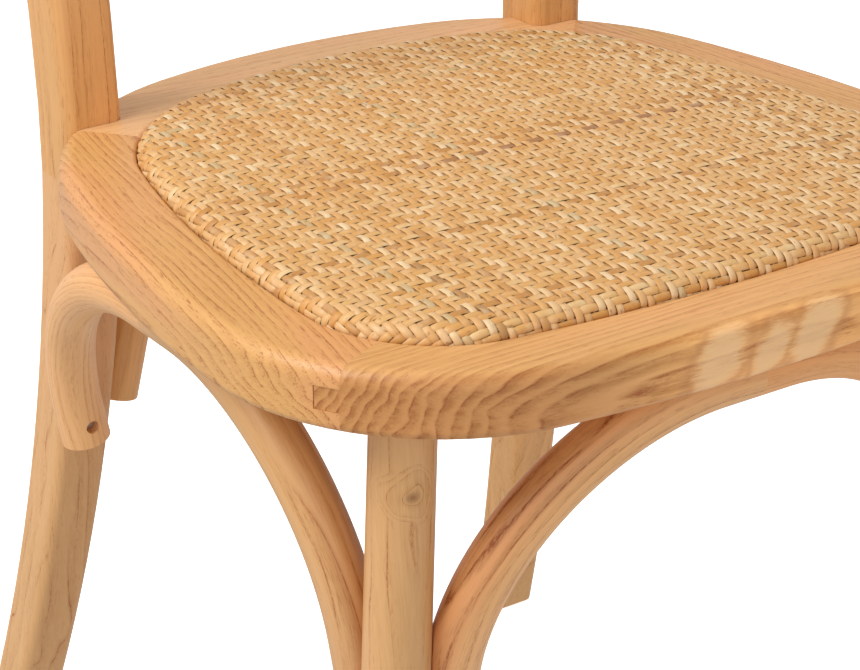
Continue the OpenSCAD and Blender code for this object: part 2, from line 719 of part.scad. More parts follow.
module front_end_bore() {
    at_front_arch() with_kind(front_kind, "end") screw_bore(leg_screw_length);
}
module rear_end_bore() {
    at_rear_arch() with_kind(rear_kind, "end") screw_bore(leg_screw_length);
}
module side_front_end_bore() {
    at_side_arch(-90, side_front_lean) with_kind(side_front_kind, "end") screw_bore(leg_screw_length);
}
module side_rear_end_bore() {
    at_side_arch(90, side_rear_lean) with_kind(side_rear_kind, "end") screw_bore(leg_screw_length);
}
module front_crown_bore() {
    at_front_arch() with_kind(front_kind, "crown") screw_bore(rail_screw_length);
}
module rear_crown_bore() {
    at_rear_arch() with_kind(rear_kind, "crown") screw_bore(rail_screw_length);
}
module side_crown_bores() {
    at_side_arch(-90, side_front_lean) with_kind(side_front_kind, "crown") screw_bore(rail_screw_length);
    at_side_arch(90, side_rear_lean) with_kind(side_rear_kind, "crown") screw_bore(rail_screw_length);
}

// Sub-parts

module seat_rail_front() {
    color(wood) difference() {
        union() {
            rail(mitres[3] - stations, mitres[0]);
            tongue(mitres[0] - tongue_root, mitres[0] + tongue_steps, 0.3, 0);
            tongue(mitres[3] - stations - tongue_steps, mitres[3] - stations + tongue_root, 0.3, 0);
        }
        both() {
            tenon(fit_clear);
            front_crown_bore();
        }
        at_board_screws() screw_bore(board_screw_length);
    }
}

module seat_rail_rear() {
    color(wood) difference() {
        union() {
            rail(mitres[1], mitres[2]);
            tongue(mitres[1] - tongue_steps, mitres[1] + tongue_root, 0.3, 0);
            tongue(mitres[2] - tongue_root, mitres[2] + tongue_steps, 0.3, 0);
        }
        both() {
            post_housing();
            bolt_bore();
            rear_crown_bore();
        }
        at_board_screws() screw_bore(board_screw_length);
    }
}

module side_rail() {
    color(wood) difference() {
        rail(mitres[0], mitres[1]);
        slot(mitres[0] - tongue_root, mitres[0] + tongue_steps + tongue_tip);
        slot(mitres[1] - tongue_steps - tongue_tip, mitres[1] + tongue_root);
        post_housing();
        bolt_bore();
        side_crown_bores();
        at_board_screws() screw_bore(board_screw_length);
    }
}
module seat_rail_right() {
    side_rail();
}
module seat_rail_left() {
    mirror([1, 0, 0]) side_rail();
}

module seat_board() {
    color(wood) difference() {
        translate([0, 0, ledge_z]) linear_extrude(board_thickness)
            polygon(pad_ring(cover_thickness + foam_gap));
        at_board_screws() screw_bore(board_screw_length);
    }
}

module seat_foam() {
    color([0.94, 0.92, 0.85]) loft(concat(
        [flat_ring(cover_thickness + foam_gap, ledge_z + board_thickness)],
        pad_rings(cover_thickness + foam_gap, cover_thickness + foam_gap, 3, 2)
    ));
}

module seat_weave() {
    color(rattan) loft(concat(
        backwards(pad_rings(cover_thickness, cover_thickness, 5, 4)),
        [flat_ring(cover_thickness, ledge_z)],
        [flat_ring(0, ledge_z)],
        pad_rings(0, 0, 5, 4)
    ));
}

module seat_board_screws() {
    color(steel) at_board_screws() screw(board_screw_length);
}

module front_leg() {
    color(wood) difference() {
        union() {
            intersection() {
                leg_shape(0);
                translate([0, -overall_depth, glide_thickness]) cube([2 * front_foot_x, 2 * overall_depth, leg_span]);
            }
            tenon(0);
        }
        front_end_bore();
        side_front_end_bore();
        translate(front_foot_at) nail(fit_clear);
    }
}
module front_leg_right() {
    front_leg();
}
module front_leg_left() {
    mirror([1, 0, 0]) front_leg();
}

module rear_leg() {
    color(wood) difference() {
        loft([for (k = [rear_leg_steps:-1:0]) rear_leg_section(k / rear_leg_steps)]);
        rear_end_bore();
        side_rear_end_bore();
        at_post_dowels() post_dowel(fit_clear);
        translate(rear_foot_at) nail(fit_clear);
    }
}
module rear_leg_right() {
    rear_leg();
}
module rear_leg_left() {
    mirror([1, 0, 0]) rear_leg();
}

module back_hoop() {
    color(wood) difference() {
        loft([for (h = hoop_line) let(
            x = h[0][0],
            u = h[0][1],
            n = turn_left(h[1]),
            w = between(post_width, crest_width, h[2]),
            d = between(post_depth, crest_depth, h[3])
        ) [for (p = rounded_rect(w, d, post_round))
            on_sheet(x, u) + p[0] * ([n[0], 0, 0] + n[1] * sheet_up(u)) - p[1] * sheet_back(u)]]);
        panel_groove();
        back_tenons(fit_clear);
        both() {
            bolt_bore();
            barrel_bore();
            at_post_dowels() post_dowel(fit_clear);
        }
    }
}

rail_steps = 10;
back_rail_round = 7;
module back_rail() {
    color(wood) difference() {
        union() {
            at_lean() loft([for (k = [0:rail_steps]) let(
                x = between(rail_end, -rail_end, k / rail_steps),
                v = rail_edge(x, 0),
                up = unit([x, v] - rail_circle[0]),
                last = k == 0 || k == rail_steps
            ) [for (p = rounded_rect(back_rail_thickness, back_rail_height, back_rail_round)) let(
                at = [x, v] + p[1] * up
            ) [last ? sign(x) * post_edge(at[1], 0) : at[0], at[1], p[0]]]]);
            back_tenons(0);
        }
        panel_groove();
    }
}

module back_weave() {
    color(rattan) panel_plate(1 - groove_depth, -panel_stack / 2, panel_thickness);
}

reed_proud = 0.8;
module back_reed() {
    r = reed_d / 2 - fit_clear;
    path = back_outline(reed_proud - reed_d / 2);
    n = len(path);
    color(rattan) at_lean() ring([for (i = [0:n - 1]) let(
        p = path[i],
        a = turn_left(unit(p - path[(i + n - 1) % n])),
        b = turn_left(unit(path[(i + 1) % n] - p)),
        m = (a + b) / (1 + a * b)
    ) [for (k = [0:7]) let(t = 45 * k + 22.5)
        lift(p + m * r * cos(t), panel_thickness / 2 + r * sin(t))]]);
}

// Closed ring through a list of sections
module ring(sections) {
    n = len(sections[0]);
    m = len(sections);
    polyhedron(points = [for (s = sections) each s], convexity = 6, faces = [for (i = [0:m - 1]) for (k = [0:n - 1])
        let(j = (i + 1) % m, a = i * n + k, b = i * n + (k + 1) % n, c = j * n + k, d = j * n + (k + 1) % n)
        each [[a, c, b], [b, c, d]]]);
}

module above_frame() {
    translate([-seat_front_width, -overall_depth, frame_under])
        cube([2 * seat_front_width, 2 * overall_depth, 2 * brace_d]);
}

module front_brace() {
    color(wood) difference() {
        at_front_arch() with_kind(front_kind, "rod");
        above_frame();
        leg_shape(wood_clear);
        front_end_bore();
        front_crown_bore();
        at_front_arch() with_kind(front_kind, "joint");
    }
}
module front_brace_right() {
    front_brace();
}
module front_brace_left() {
    mirror([1, 0, 0]) front_brace();
}

module rear_brace() {
    color(wood) difference() {
        at_rear_arch() with_kind(rear_kind, "rod");
        above_frame();
        rear_leg_near(crown_z - rear_bend_r + brace_r, wood_clear);
        rear_end_bore();
        rear_crown_bore();
        at_rear_arch() with_kind(rear_kind, "joint");
    }
}
module rear_brace_right() {
    rear_brace();
}
module rear_brace_left() {
    mirror([1, 0, 0]) rear_brace();
}

module side_brace_front() {
    color(wood) difference() {
        at_side_arch(-90, side_front_lean) with_kind(side_front_kind, "rod");
        above_frame();
        leg_shape(wood_clear);
        side_front_end_bore();
        side_crown_bores();
        at_side_arch(-90, side_front_lean) with_kind(side_front_kind, "joint");
    }
}
module side_brace_right_front() {
    side_brace_front();
}
module side_brace_left_front() {
    mirror([1, 0, 0]) side_brace_front();
}

module side_brace_rear() {
    color(wood) difference() {
        at_side_arch(90, side_rear_lean) with_kind(side_rear_kind, "rod");
        above_frame();
        rear_leg_near(crown_z - brace_bend_r + brace_r, wood_clear);
        side_rear_end_bore();
        side_crown_bores();
        at_side_arch(90, side_rear_lean) with_kind(side_rear_kind, "joint");
    }
}
module side_brace_right_rear() {
    side_brace_rear();
}
module side_brace_left_rear() {
    mirror([1, 0, 0]) side_brace_rear();
}

module crown_dowels() {
    color(wood) {
        at_front_arch() crown_dowel_bore(0);
        at_rear_arch() crown_dowel_bore(0);
        both() at_side_arch(90, side_rear_lean) crown_dowel_bore(0);
    }
}

module brace_leg_screws() {
    color(steel) both() {
        at_front_arch() with_kind(front_kind, "end") screw(leg_screw_length);
        at_rear_arch() with_kind(rear_kind, "end") screw(leg_screw_length);
        at_side_arch(-90, side_front_lean) with_kind(side_front_kind, "end") screw(leg_screw_length);
        at_side_arch(90, side_rear_lean) with_kind(side_rear_kind, "end") screw(leg_screw_length);
    }
}

module brace_rail_screws() {
    color(steel) both() {
        at_front_arch() with_kind(front_kind, "crown") screw(rail_screw_length);
        at_rear_arch() with_kind(rear_kind, "crown") screw(rail_screw_length);
        at_side_arch(-90, side_front_lean) with_kind(side_front_kind, "crown") screw(rail_screw_length);
        at_side_arch(90, side_rear_lean) with_kind(side_rear_kind, "crown") screw(rail_screw_length);
    }
}

module post_bolts() {
    color(steel) both() at_bolt() {
        translate([bolt_recess - bolt_reach, 0, 0]) rotate([0, 90, 0])
            cylinder(h = bolt_reach - bolt_recess + barrel_d / 2, d = bolt_d);
        translate([bolt_recess - bolt_reach - bolt_head_h, 0, 0]) rotate([0, 90, 0])
            cylinder(h = bolt_head_h, d = bolt_head_d);
    }
}

module post_barrel_nuts() {
    color(steel) both() at_bolt() difference() {
        translate([0, 0, -barrel_length / 2]) cylinder(h = barrel_length, d = barrel_d);
        translate([-barrel_d, 0, 0]) rotate([0, 90, 0]) cylinder(h = 2 * barrel_d, d = bolt_d + fit_clear);
    }
}

module post_dowels() {
    color(wood) both() at_post_dowels() post_dowel(0);
}

module foot_glides() {
    color([0.2, 0.2, 0.2]) at_feet() difference() {
        cylinder(h = glide_thickness, d = glide_d);
        nail(fit_clear);
    }
}

module glide_nails() {
    color(steel) at_feet() nail(0);
}

seat_rail_front();
seat_rail_rear();
seat_rail_left();
seat_rail_right();
seat_board();
seat_foam();
seat_weave();
seat_board_screws();
front_leg_left();
front_leg_right();
rear_leg_left();
rear_leg_right();
back_hoop();
back_rail();
back_weave();
back_reed();
front_brace_left();
front_brace_right();
rear_brace_left();
rear_brace_right();
side_brace_left_front();
side_brace_left_rear();
side_brace_right_front();
side_brace_right_rear();
crown_dowels();
brace_leg_screws();
brace_rail_screws();
post_bolts();
post_barrel_nuts();
post_dowels();
foot_glides();
glide_nails();
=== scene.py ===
import math
import bmesh
import bpy
import numpy as np
from mathutils import Matrix, Vector
from mathutils.bvhtree import BVHTree


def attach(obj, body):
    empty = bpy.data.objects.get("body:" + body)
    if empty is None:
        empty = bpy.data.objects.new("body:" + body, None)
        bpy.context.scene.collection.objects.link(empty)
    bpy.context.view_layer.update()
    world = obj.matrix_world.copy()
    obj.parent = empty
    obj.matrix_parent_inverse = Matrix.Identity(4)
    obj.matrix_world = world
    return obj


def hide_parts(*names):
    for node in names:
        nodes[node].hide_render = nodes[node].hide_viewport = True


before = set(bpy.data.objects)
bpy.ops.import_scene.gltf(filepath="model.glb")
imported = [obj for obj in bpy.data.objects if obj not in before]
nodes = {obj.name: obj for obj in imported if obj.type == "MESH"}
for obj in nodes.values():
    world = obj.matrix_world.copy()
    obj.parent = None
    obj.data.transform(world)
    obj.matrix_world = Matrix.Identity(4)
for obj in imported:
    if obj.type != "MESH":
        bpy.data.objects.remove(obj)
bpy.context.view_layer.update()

scene = bpy.context.scene
print("frame loaded:", len(nodes), "nodes")

# camera, from a perspective fit to the photograph

cameraSettings = {
    "place": (-0.83473, -1.17103, 1.02517),
    "turn": 34.403,
    "down": 24.824,
    "lens": 115.78,
}
cameraData = bpy.data.cameras.new("photoCamera")
cameraData.lens = cameraSettings["lens"]
cameraData.sensor_width = 36
cameraData.sensor_fit = "HORIZONTAL"
camera = bpy.data.objects.new("photoCamera", cameraData)
camera.location = cameraSettings["place"]
camera.rotation_euler = (math.radians(90 - cameraSettings["down"]), 0, math.radians(-cameraSettings["turn"]))
scene.collection.objects.link(camera)
scene.camera = camera

# studio

studio = {
    "floorSize": 80,
    "floorColor": (0.88, 0.88, 0.87, 1),
    "floorGlow": 0.85,
    "worldStrength": 0.62,
    "keyPower": 50,
    "keyPlace": (-1.9, 0.2, 2.5),
    "keySize": 1.7,
    "fillPower": 6,
    "fillPlace": (-1.2, -2.2, 1.2),
    "fillSize": 1.6,
    "aim": (0, 0, 0.42),
}
scene.view_settings.view_transform = "Standard"
scene.view_settings.look = "None"
world = bpy.data.worlds.new("studio")
scene.world = world
world.use_nodes = True
background = world.node_tree.nodes["Background"]
background.inputs["Color"].default_value = (1, 1, 1, 1)
background.inputs["Strength"].default_value = studio["worldStrength"]


def areaLight(name, place, size, power):
    data = bpy.data.lights.new(name, "AREA")
    data.shape = "DISK"
    data.size = size
    data.energy = power
    light = bpy.data.objects.new(name, data)
    light.location = place
    light.rotation_euler = (Vector(studio["aim"]) - Vector(place)).to_track_quat("-Z", "Y").to_euler()
    scene.collection.objects.link(light)


for kind in ("key", "fill"):
    areaLight(kind + "Light", studio[kind + "Place"], studio[kind + "Size"], studio[kind + "Power"])

# node helpers


def makeMaterial(name):
    material = bpy.data.materials.new(name)
    material.use_nodes = True
    shader = material.node_tree.nodes["Principled BSDF"]
    return material, material.node_tree, shader


def feed(tree, socket, value):
    if isinstance(value, bpy.types.NodeSocket):
        tree.links.new(value, socket)
    else:
        socket.default_value = value


def calc(tree, operation, first, second=None, third=None, clamp=False):
    n = tree.nodes.new("ShaderNodeMath")
    n.operation = operation
    n.use_clamp = clamp
    for socket, value in zip(n.inputs, (first, second, third)):
        if value is not None:
            feed(tree, socket, value)
    return n.outputs[0]


def vectorCalc(tree, operation, first, second=None, out=0):
    n = tree.nodes.new("ShaderNodeVectorMath")
    n.operation = operation
    feed(tree, n.inputs[0], first)
    if second is not None:
        feed(tree, n.inputs[1], second)
    return n.outputs[out]


def spread(tree, value, low, high, toLow=0.0, toHigh=1.0, smooth=True):
    n = tree.nodes.new("ShaderNodeMapRange")
    n.interpolation_type = "SMOOTHSTEP" if smooth else "LINEAR"
    for socket, number in zip(n.inputs[:5], (value, low, high, toLow, toHigh)):
        feed(tree, socket, number)
    return n.outputs[0]


def noise(tree, place, size, detail=2.0, roughness=0.5, colour=False):
    place = vectorCalc(tree, "MULTIPLY", place, size)
    n = tree.nodes.new("ShaderNodeTexNoise")
    feed(tree, n.inputs["Vector"], place)
    n.inputs["Scale"].default_value = 1.0
    n.inputs["Detail"].default_value = detail
    n.inputs["Roughness"].default_value = roughness
    return n.outputs["Color" if colour else "Fac"]


def blendColours(tree, share, first, second, way="MIX"):
    n = tree.nodes.new("ShaderNodeMix")
    n.data_type = "RGBA"
    n.blend_type = way
    feed(tree, n.inputs[0], share)
    feed(tree, n.inputs[6], first)
    feed(tree, n.inputs[7], second)
    return n.outputs[2]


def readAttribute(tree, name):
    n = tree.nodes.new("ShaderNodeAttribute")
    n.attribute_name = name
    return n.outputs


def objectPlace(tree):
    return tree.nodes.new("ShaderNodeTexCoord").outputs["Object"]


def useGroup(tree, group):
    n = tree.nodes.new("ShaderNodeGroup")
    n.node_tree = group
    return n


def addBump(tree, shader, height, distance, strength=1.0):
    n = tree.nodes.new("ShaderNodeBump")
    n.inputs["Strength"].default_value = strength
    n.inputs["Distance"].default_value = distance
    feed(tree, n.inputs["Height"], height)
    feed(tree, shader.inputs["Normal"], n.outputs["Normal"])


def separate(tree, place):
    n = tree.nodes.new("ShaderNodeSeparateXYZ")
    feed(tree, n.inputs[0], place)
    return n.outputs


def scaled(tree, place, size):
    out = vectorCalc(tree, "SCALE", place)
    feed(tree, out.node.inputs["Scale"], size)
    return out


def newGroup(name, inputs, outputs):
    group = bpy.data.node_groups.new(name, "ShaderNodeTree")
    for label, kind, value in inputs:
        socket = group.interface.new_socket(name=label, in_out="INPUT", socket_type=kind)
        socket.default_value = value
    for label, kind in outputs:
        group.interface.new_socket(name=label, in_out="OUTPUT", socket_type=kind)
    return group, group.nodes.new("NodeGroupInput").outputs, group.nodes.new("NodeGroupOutput").inputs


# mesh helpers


def readPlaces(mesh):
    places = np.empty(len(mesh.vertices) * 3, np.float32)
    mesh.vertices.foreach_get("co", places)
    return places.reshape(-1, 3).astype(float)


def writeAttribute(mesh, name, kind, field, values):
    attribute = mesh.attributes.new(name, kind, "POINT")
    attribute.data.foreach_set(field, values.astype(np.float32).ravel())


def meshFrom(bm, name):
    mesh = bpy.data.meshes.new(name)
    bm.to_mesh(mesh)
    bm.free()
    return mesh


def addPiece(name, mesh):
    piece = bpy.data.objects.new(name, mesh)
    scene.collection.objects.link(piece)
    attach(piece, "root")
    return piece


# wood grain: Place runs along the grain in x, and the growth rings lie round the x axis


def makeWoodGrain():
    group, given, result = newGroup("woodGrain", [
        ("Place", "NodeSocketVector", (0, 0, 0)),
        ("Light", "NodeSocketColor", (0.8, 0.5, 0.25, 1)),
        ("Dark", "NodeSocketColor", (0.5, 0.25, 0.1, 1)),
        ("Blush", "NodeSocketColor", (0.8, 0.45, 0.28, 1)),
        ("Line", "NodeSocketColor", (0.40, 0.115, 0.028, 1)),
        ("RingWidth", "NodeSocketFloat", 4.0),
        ("RingStrength", "NodeSocketFloat", 0.5),
        ("LineStrength", "NodeSocketFloat", 0.6),
        ("PoreStrength", "NodeSocketFloat", 0.35),
        ("Waver", "NodeSocketFloat", 4.0),
        ("Knot", "NodeSocketVector", (9, 9, 9)),
        ("KnotSize", "NodeSocketFloat", 12.0),
    ], [("Color", "NodeSocketColor"), ("Roughness", "NodeSocketFloat"), ("Height", "NodeSocketFloat")])
    place = scaled(group, given["Place"], 1000.0)

    # slow wander of the fibres
    wander = noise(group, place, (0.006, 0.024, 0.024), 2.0, 0.5, True)
    wander = vectorCalc(group, "SUBTRACT", wander, (0.5, 0.5, 0.5))
    wander = vectorCalc(group, "MULTIPLY", wander, (0.0, 2.0, 2.0))
    bent = vectorCalc(group, "ADD", place, scaled(group, wander, given["Waver"]))

    # growth rings, which close round a knot
    across = vectorCalc(group, "MULTIPLY", bent, (0.0, 1.0, 1.0))
    radius = vectorCalc(group, "LENGTH", across, out=1)
    knotPlace = scaled(group, given["Knot"], 1000.0)
    fromKnot = vectorCalc(group, "SUBTRACT", bent, knotPlace)
    fromKnot = vectorCalc(group, "MULTIPLY", fromKnot, (1.0, 0.72, 0.72))
    knotReach = vectorCalc(group, "LENGTH", fromKnot, out=1)
    knotWarp = noise(group, place, (0.05, 0.06, 0.06), 0.0)
    knotReach = calc(group, "MULTIPLY", knotReach, spread(group, knotWarp, 0.25, 0.75, 0.55, 1.45, False))
    nearKnot = calc(group, "DIVIDE", knotReach, given["KnotSize"])
    knotShare = spread(group, nearKnot, 0.5, 2.4, 1.0, 0.0)
    knotRadius = vectorCalc(group, "LENGTH", vectorCalc(group, "MULTIPLY", knotPlace, (0.0, 1.0, 1.0)), out=1)
    ringPlace = calc(group, "DIVIDE", calc(group, "SUBTRACT", radius, knotRadius), given["RingWidth"])
    knotRings = calc(group, "MULTIPLY", nearKnot, 2.2)
    ringMix = group.nodes.new("ShaderNodeMix")
    feed(group, ringMix.inputs[0], knotShare)
    feed(group, ringMix.inputs[2], ringPlace)
    feed(group, ringMix.inputs[3], knotRings)
    uneven = noise(group, bent, (0.004, 0.045, 0.045))
    ring = calc(group, "FRACT", calc(group, "ADD", ringMix.outputs[0], calc(group, "MULTIPLY", uneven, 3.2)))

    # the open pores of each ring stand in a dotted line, and then the ring fades
    halfLine = calc(group, "DIVIDE", 0.42, given["RingWidth"])
    line = spread(group, calc(group, "ABSOLUTE", calc(group, "SUBTRACT", ring, 0.2)), halfLine, 0.0)
    fade = calc(group, "MULTIPLY", spread(group, ring, 0.0, 0.18), spread(group, ring, 0.24, 0.95, 1.0, 0.0))
    dots = noise(group, bent, (0.34, 1.6, 1.6), 2.0, 0.65)
    dots = spread(group, dots, 0.38, 0.56)
    patchy = noise(group, place, (0.011, 0.2, 0.2), 2.0, 0.6)
    patchy = calc(group, "MAXIMUM", spread(group, patchy, 0.38, 0.62, 0.06, 1.0), knotShare)
    dotted = calc(group, "MULTIPLY", line, calc(group, "MULTIPLY_ADD", dots, 0.8, 0.2))
    lineMask = calc(group, "MULTIPLY", dotted, calc(group, "MULTIPLY", patchy, given["LineStrength"]))
    dashes = noise(group, bent, (0.12, 1.7, 1.7), 1.5, 0.6)
    dashes = spread(group, dashes, 0.56, 0.66)
    pores = calc(group, "MULTIPLY", dashes, calc(group, "MULTIPLY_ADD", fade, 0.85, 0.1))
    pores = calc(group, "MULTIPLY", pores, given["PoreStrength"], clamp=True)

    fibre = noise(group, bent, (0.024, 0.8, 0.8), 3.0, 0.6)
    broad = noise(group, place, (0.0045, 0.02, 0.02))
    blushShare = spread(group, broad, 0.42, 0.66)
    tone = calc(group, "MULTIPLY", fade, calc(group, "MULTIPLY_ADD", patchy, 0.8, 0.4))
    tone = calc(group, "MULTIPLY", tone, given["RingStrength"])
    tone = calc(group, "ADD", tone, spread(group, fibre, 0.25, 0.78, -0.13, 0.26, False))
    tone = calc(group, "ADD", tone, spread(group, broad, 0.3, 0.7, 0.26, -0.12, False), clamp=True)
    ground = blendColours(group, blushShare, given["Light"], given["Blush"])
    colour = blendColours(group, tone, ground, given["Dark"])
    streaks = spread(group, fibre, 0.3, 0.7)
    knotStain = calc(group, "MULTIPLY", spread(group, nearKnot, 0.2, 1.9, 0.5, 0.0), streaks)
    colour = blendColours(group, knotStain, colour, given["Dark"])
    knotHeart = spread(group, nearKnot, 0.08, 0.6, 0.6, 0.0)
    colour = blendColours(group, knotHeart, colour, (0.2, 0.09, 0.035, 1))
    marks = calc(group, "MAXIMUM", pores, lineMask, clamp=True)
    colour = blendColours(group, marks, colour, given["Line"])
    feed(group, result["Color"], colour)
    rough = calc(group, "MULTIPLY_ADD", marks, 0.12, spread(group, fibre, 0.2, 0.8, 0.38, 0.5, False))
    feed(group, result["Roughness"], rough)
    relief = calc(group, "MULTIPLY_ADD", marks, -0.8, calc(group, "MULTIPLY", fibre, 0.3))
    feed(group, result["Height"], relief)
    return group


woodGrain = makeWoodGrain()

woodTones = {
    "honey": ((0.80, 0.43, 0.155, 1), (0.53, 0.235, 0.062, 1), (0.82, 0.415, 0.155, 1)),
    "pale": ((0.78, 0.445, 0.19, 1), (0.56, 0.27, 0.088, 1), (0.78, 0.425, 0.185, 1)),
    "rosy": ((0.78, 0.425, 0.145, 1), (0.55, 0.245, 0.065, 1), (0.77, 0.37, 0.14, 1)),
    "blush": ((0.88, 0.525, 0.235, 1), (0.62, 0.32, 0.115, 1), (0.90, 0.50, 0.23, 1)),
    # amber and peach are brighter, more orange tones for the arches under the seat: partly the boards' own
    # colour, partly painted light standing in for light bouncing up from the floor
    "amberWithPaintedBounce": ((0.97, 0.48, 0.175, 1), (0.62, 0.27, 0.08, 1), (0.95, 0.46, 0.175, 1)),
    "peachWithPaintedBounce": ((0.95, 0.52, 0.22, 1), (0.66, 0.32, 0.115, 1), (0.95, 0.50, 0.22, 1)),
    "brown": ((0.70, 0.37, 0.14, 1), (0.44, 0.20, 0.06, 1), (0.72, 0.37, 0.15, 1)),
}


# the front rail's side: painted shade where it faces the front near its left end (way, share, fade), painted
# light further along it (lift, liftEnd), and pale patches of figure with a brown rim
frontRailSide = {
    "way": (-0.25, -0.97, 0),
    "share": 0.5,
    "fade": (-0.17, -0.06),
    "lift": (-0.12, -0.03),
    "liftEnd": (0.06, 0.16),
    "patches": ((-46, 460, 16, 18), (-14, 458, 11, 15), (13, 461, 16, 16)),
    "patchMiddle": 0.46,
    "patchSlant": -0.4,
    "patchWarp": 0.012,
    "patchShare": 0.72,
    "paleColour": (1.0, 0.67, 0.36, 1),
    "rimColour": (0.50, 0.20, 0.075, 1),
}
# painted shade colour, partly the wood's own darker tone, and painted light colour that brightens a side the
# lamps leave too dark
shadeColour = (0.68, 0.46, 0.33, 1)
paintedLightColour = (1.36, 1.34, 1.28, 1)
shadeDraws = {"RingStrength": 0.9, "LineStrength": 1.0}


def palePatches(tree, place, side):  # rounded pale places with a feathered brown rim, where the grain dips
    warp = noise(tree, place, (75, 40, 75), 1.0, 0.5, True)
    warp = vectorCalc(tree, "SUBTRACT", warp, (0.5, 0.5, 0.5))
    warp = vectorCalc(tree, "MULTIPLY", warp, (side["patchWarp"], 0, side["patchWarp"]))
    rise = calc(tree, "SUBTRACT", separate(tree, place)["Z"], side["patchMiddle"])
    slant = vectorCalc(tree, "MULTIPLY", rise, (side["patchSlant"], 0, 0))
    bent = vectorCalc(tree, "ADD", vectorCalc(tree, "ADD", place, warp), slant)
    reach = 9.0  # farther out than any patch
    for x, z, halfWidth, halfHeight in side["patches"]:
        apart = vectorCalc(tree, "SUBTRACT", bent, (x / 1000, 0, z / 1000))
        apart = vectorCalc(tree, "MULTIPLY", apart, (1000 / halfWidth, 0, 1000 / halfHeight))
        reach = calc(tree, "MINIMUM", reach, vectorCalc(tree, "LENGTH", apart, out=1))
    fibres = noise(tree, place, (140, 900, 1900), 2.0, 0.6)
    reach = calc(tree, "ADD", reach, calc(tree, "MULTIPLY_ADD", fibres, 0.7, -0.35))
    streaks = calc(tree, "MULTIPLY_ADD", fibres, -0.7, 1.2)
    pale = calc(tree, "MULTIPLY", spread(tree, reach, 0.6, 1.15, 1.0, 0.0), streaks)
    rim = calc(tree, "MULTIPLY", spread(tree, reach, 0.8, 1.15), spread(tree, reach, 1.15, 1.6, 0.4, 0.0))
    return pale, rim


# painted light: brightens the side between lift and liftEnd, then lays the pale patches of figure and their
# brown rim
def paintLightAndPatches(tree, place, run, facing, colour, side):
    lift = calc(tree, "MULTIPLY", spread(tree, run, *side["lift"]), facing)
    lift = calc(tree, "MULTIPLY", lift, spread(tree, run, *side["liftEnd"], 1.0, 0.0))
    colour = blendColours(tree, lift, colour, paintedLightColour, "MULTIPLY")
    pale, rim = palePatches(tree, place, side)
    pale = calc(tree, "MULTIPLY", pale, facing)
    colour = blendColours(tree, calc(tree, "MULTIPLY", pale, side["patchShare"]), colour, side["paleColour"])
    return blendColours(tree, calc(tree, "MULTIPLY", rim, facing), colour, side["rimColour"]), pale


# painted shade, partly the wood's own darker tone: darkens the side that faces the given way and draws its
# figure stronger
def shadeSide(tree, place, figure, side):  # the side that faces one way is darker, with a stronger figure
    facing = tree.nodes.new("ShaderNodeTexCoord").outputs["Normal"]
    facing = spread(tree, vectorCalc(tree, "DOT_PRODUCT", facing, side["way"], out=1), 0.3, 0.85)
    run = separate(tree, place)["X"]
    share = spread(tree, run, *side["fade"], side["share"], 0.0)
    colour = figure.outputs["Color"]
    if "patches" in side:
        colour, pale = paintLightAndPatches(tree, place, run, facing, colour, side)
        share = calc(tree, "MULTIPLY", share, calc(tree, "SUBTRACT", 1.0, pale))
    drawn = calc(tree, "MULTIPLY", facing, side["share"])
    for label, extra in shadeDraws.items():
        strength = calc(tree, "MULTIPLY_ADD", drawn, extra, figure.inputs[label].default_value)
        feed(tree, figure.inputs[label], strength)
    # painted shade: multiplies the colour towards shadeColour on the side that faces the given way
    return blendColours(tree, calc(tree, "MULTIPLY", facing, share), colour, shadeColour, "MULTIPLY")


def woodMaterial(name, tone="honey", shift=(0, 0, 0), tilt=(0, 0, 0), shade=None, **grain):
    material, tree, shader = makeMaterial(name)
    place = readAttribute(tree, "grainPlace")["Vector"]
    mapping = tree.nodes.new("ShaderNodeMapping")
    mapping.inputs["Location"].default_value = shift
    mapping.inputs["Rotation"].default_value = [math.radians(a) for a in tilt]
    feed(tree, mapping.inputs["Vector"], place)
    figure = useGroup(tree, woodGrain)
    feed(tree, figure.inputs["Place"], mapping.outputs["Vector"])
    for label, colour in zip(("Light", "Dark", "Blush"), woodTones[tone]):
        figure.inputs[label].default_value = colour
    for label, value in grain.items():
        figure.inputs[label].default_value = value
    colour = shadeSide(tree, place, figure, shade) if shade else figure.outputs["Color"]
    feed(tree, shader.inputs["Base Color"], colour)
    feed(tree, shader.inputs["Roughness"], figure.outputs["Roughness"])
    addBump(tree, shader, figure.outputs["Height"], 0.00025, 0.3)
    shader.inputs["Specular IOR Level"].default_value = 0.4
    shader.inputs["Coat Weight"].default_value = 0.12
    shader.inputs["Coat Roughness"].default_value = 0.3
    return material


# lines of the chair, in millimetres, where frontLine is the y of the seat's front

chair = {
    "frontLine": -237.75,
    "frameTop": 478.0,
    "frameUnder": 444.0,
    "seatWidths": (476.0, 378.0),
    "seatDepth": 399.0,
    "bows": (28.0, 25.5, 46.0, 25.5),
    "openingBands": (38.0, 43.0, 47.0, 43.0),
    "openingRadii": (76.0, 112.0, 112.0, 76.0),
    "post": (163.0, 401.0),
    "upright": 85.0,
    "bendRadius": 320.0,
    "lean": 10.0,
    "flare": 2.2,
    "shoulderRadius": 118.0,
    "crestRadius": 460.0,
    "crestSection": (30.0, 29.0),
    "sectionRound": 8.0,
    "backHeight": 890.0,
    "flareStart": 40.0,
}


def direction(angle):
    return np.array([math.cos(angle), math.sin(angle)])


def leftOf(v):
    return np.array([-v[1], v[0]])


def unit(v):
    return v / np.linalg.norm(v)


def heading(v):
    return math.atan2(v[1], v[0])


def bowCircle(a, b, bow):
    chord = np.linalg.norm(b - a)
    radius = (chord * chord / 4 + bow * bow) / (2 * bow)
    return (a + b) / 2 + leftOf(unit(b - a)) * (radius - bow), radius


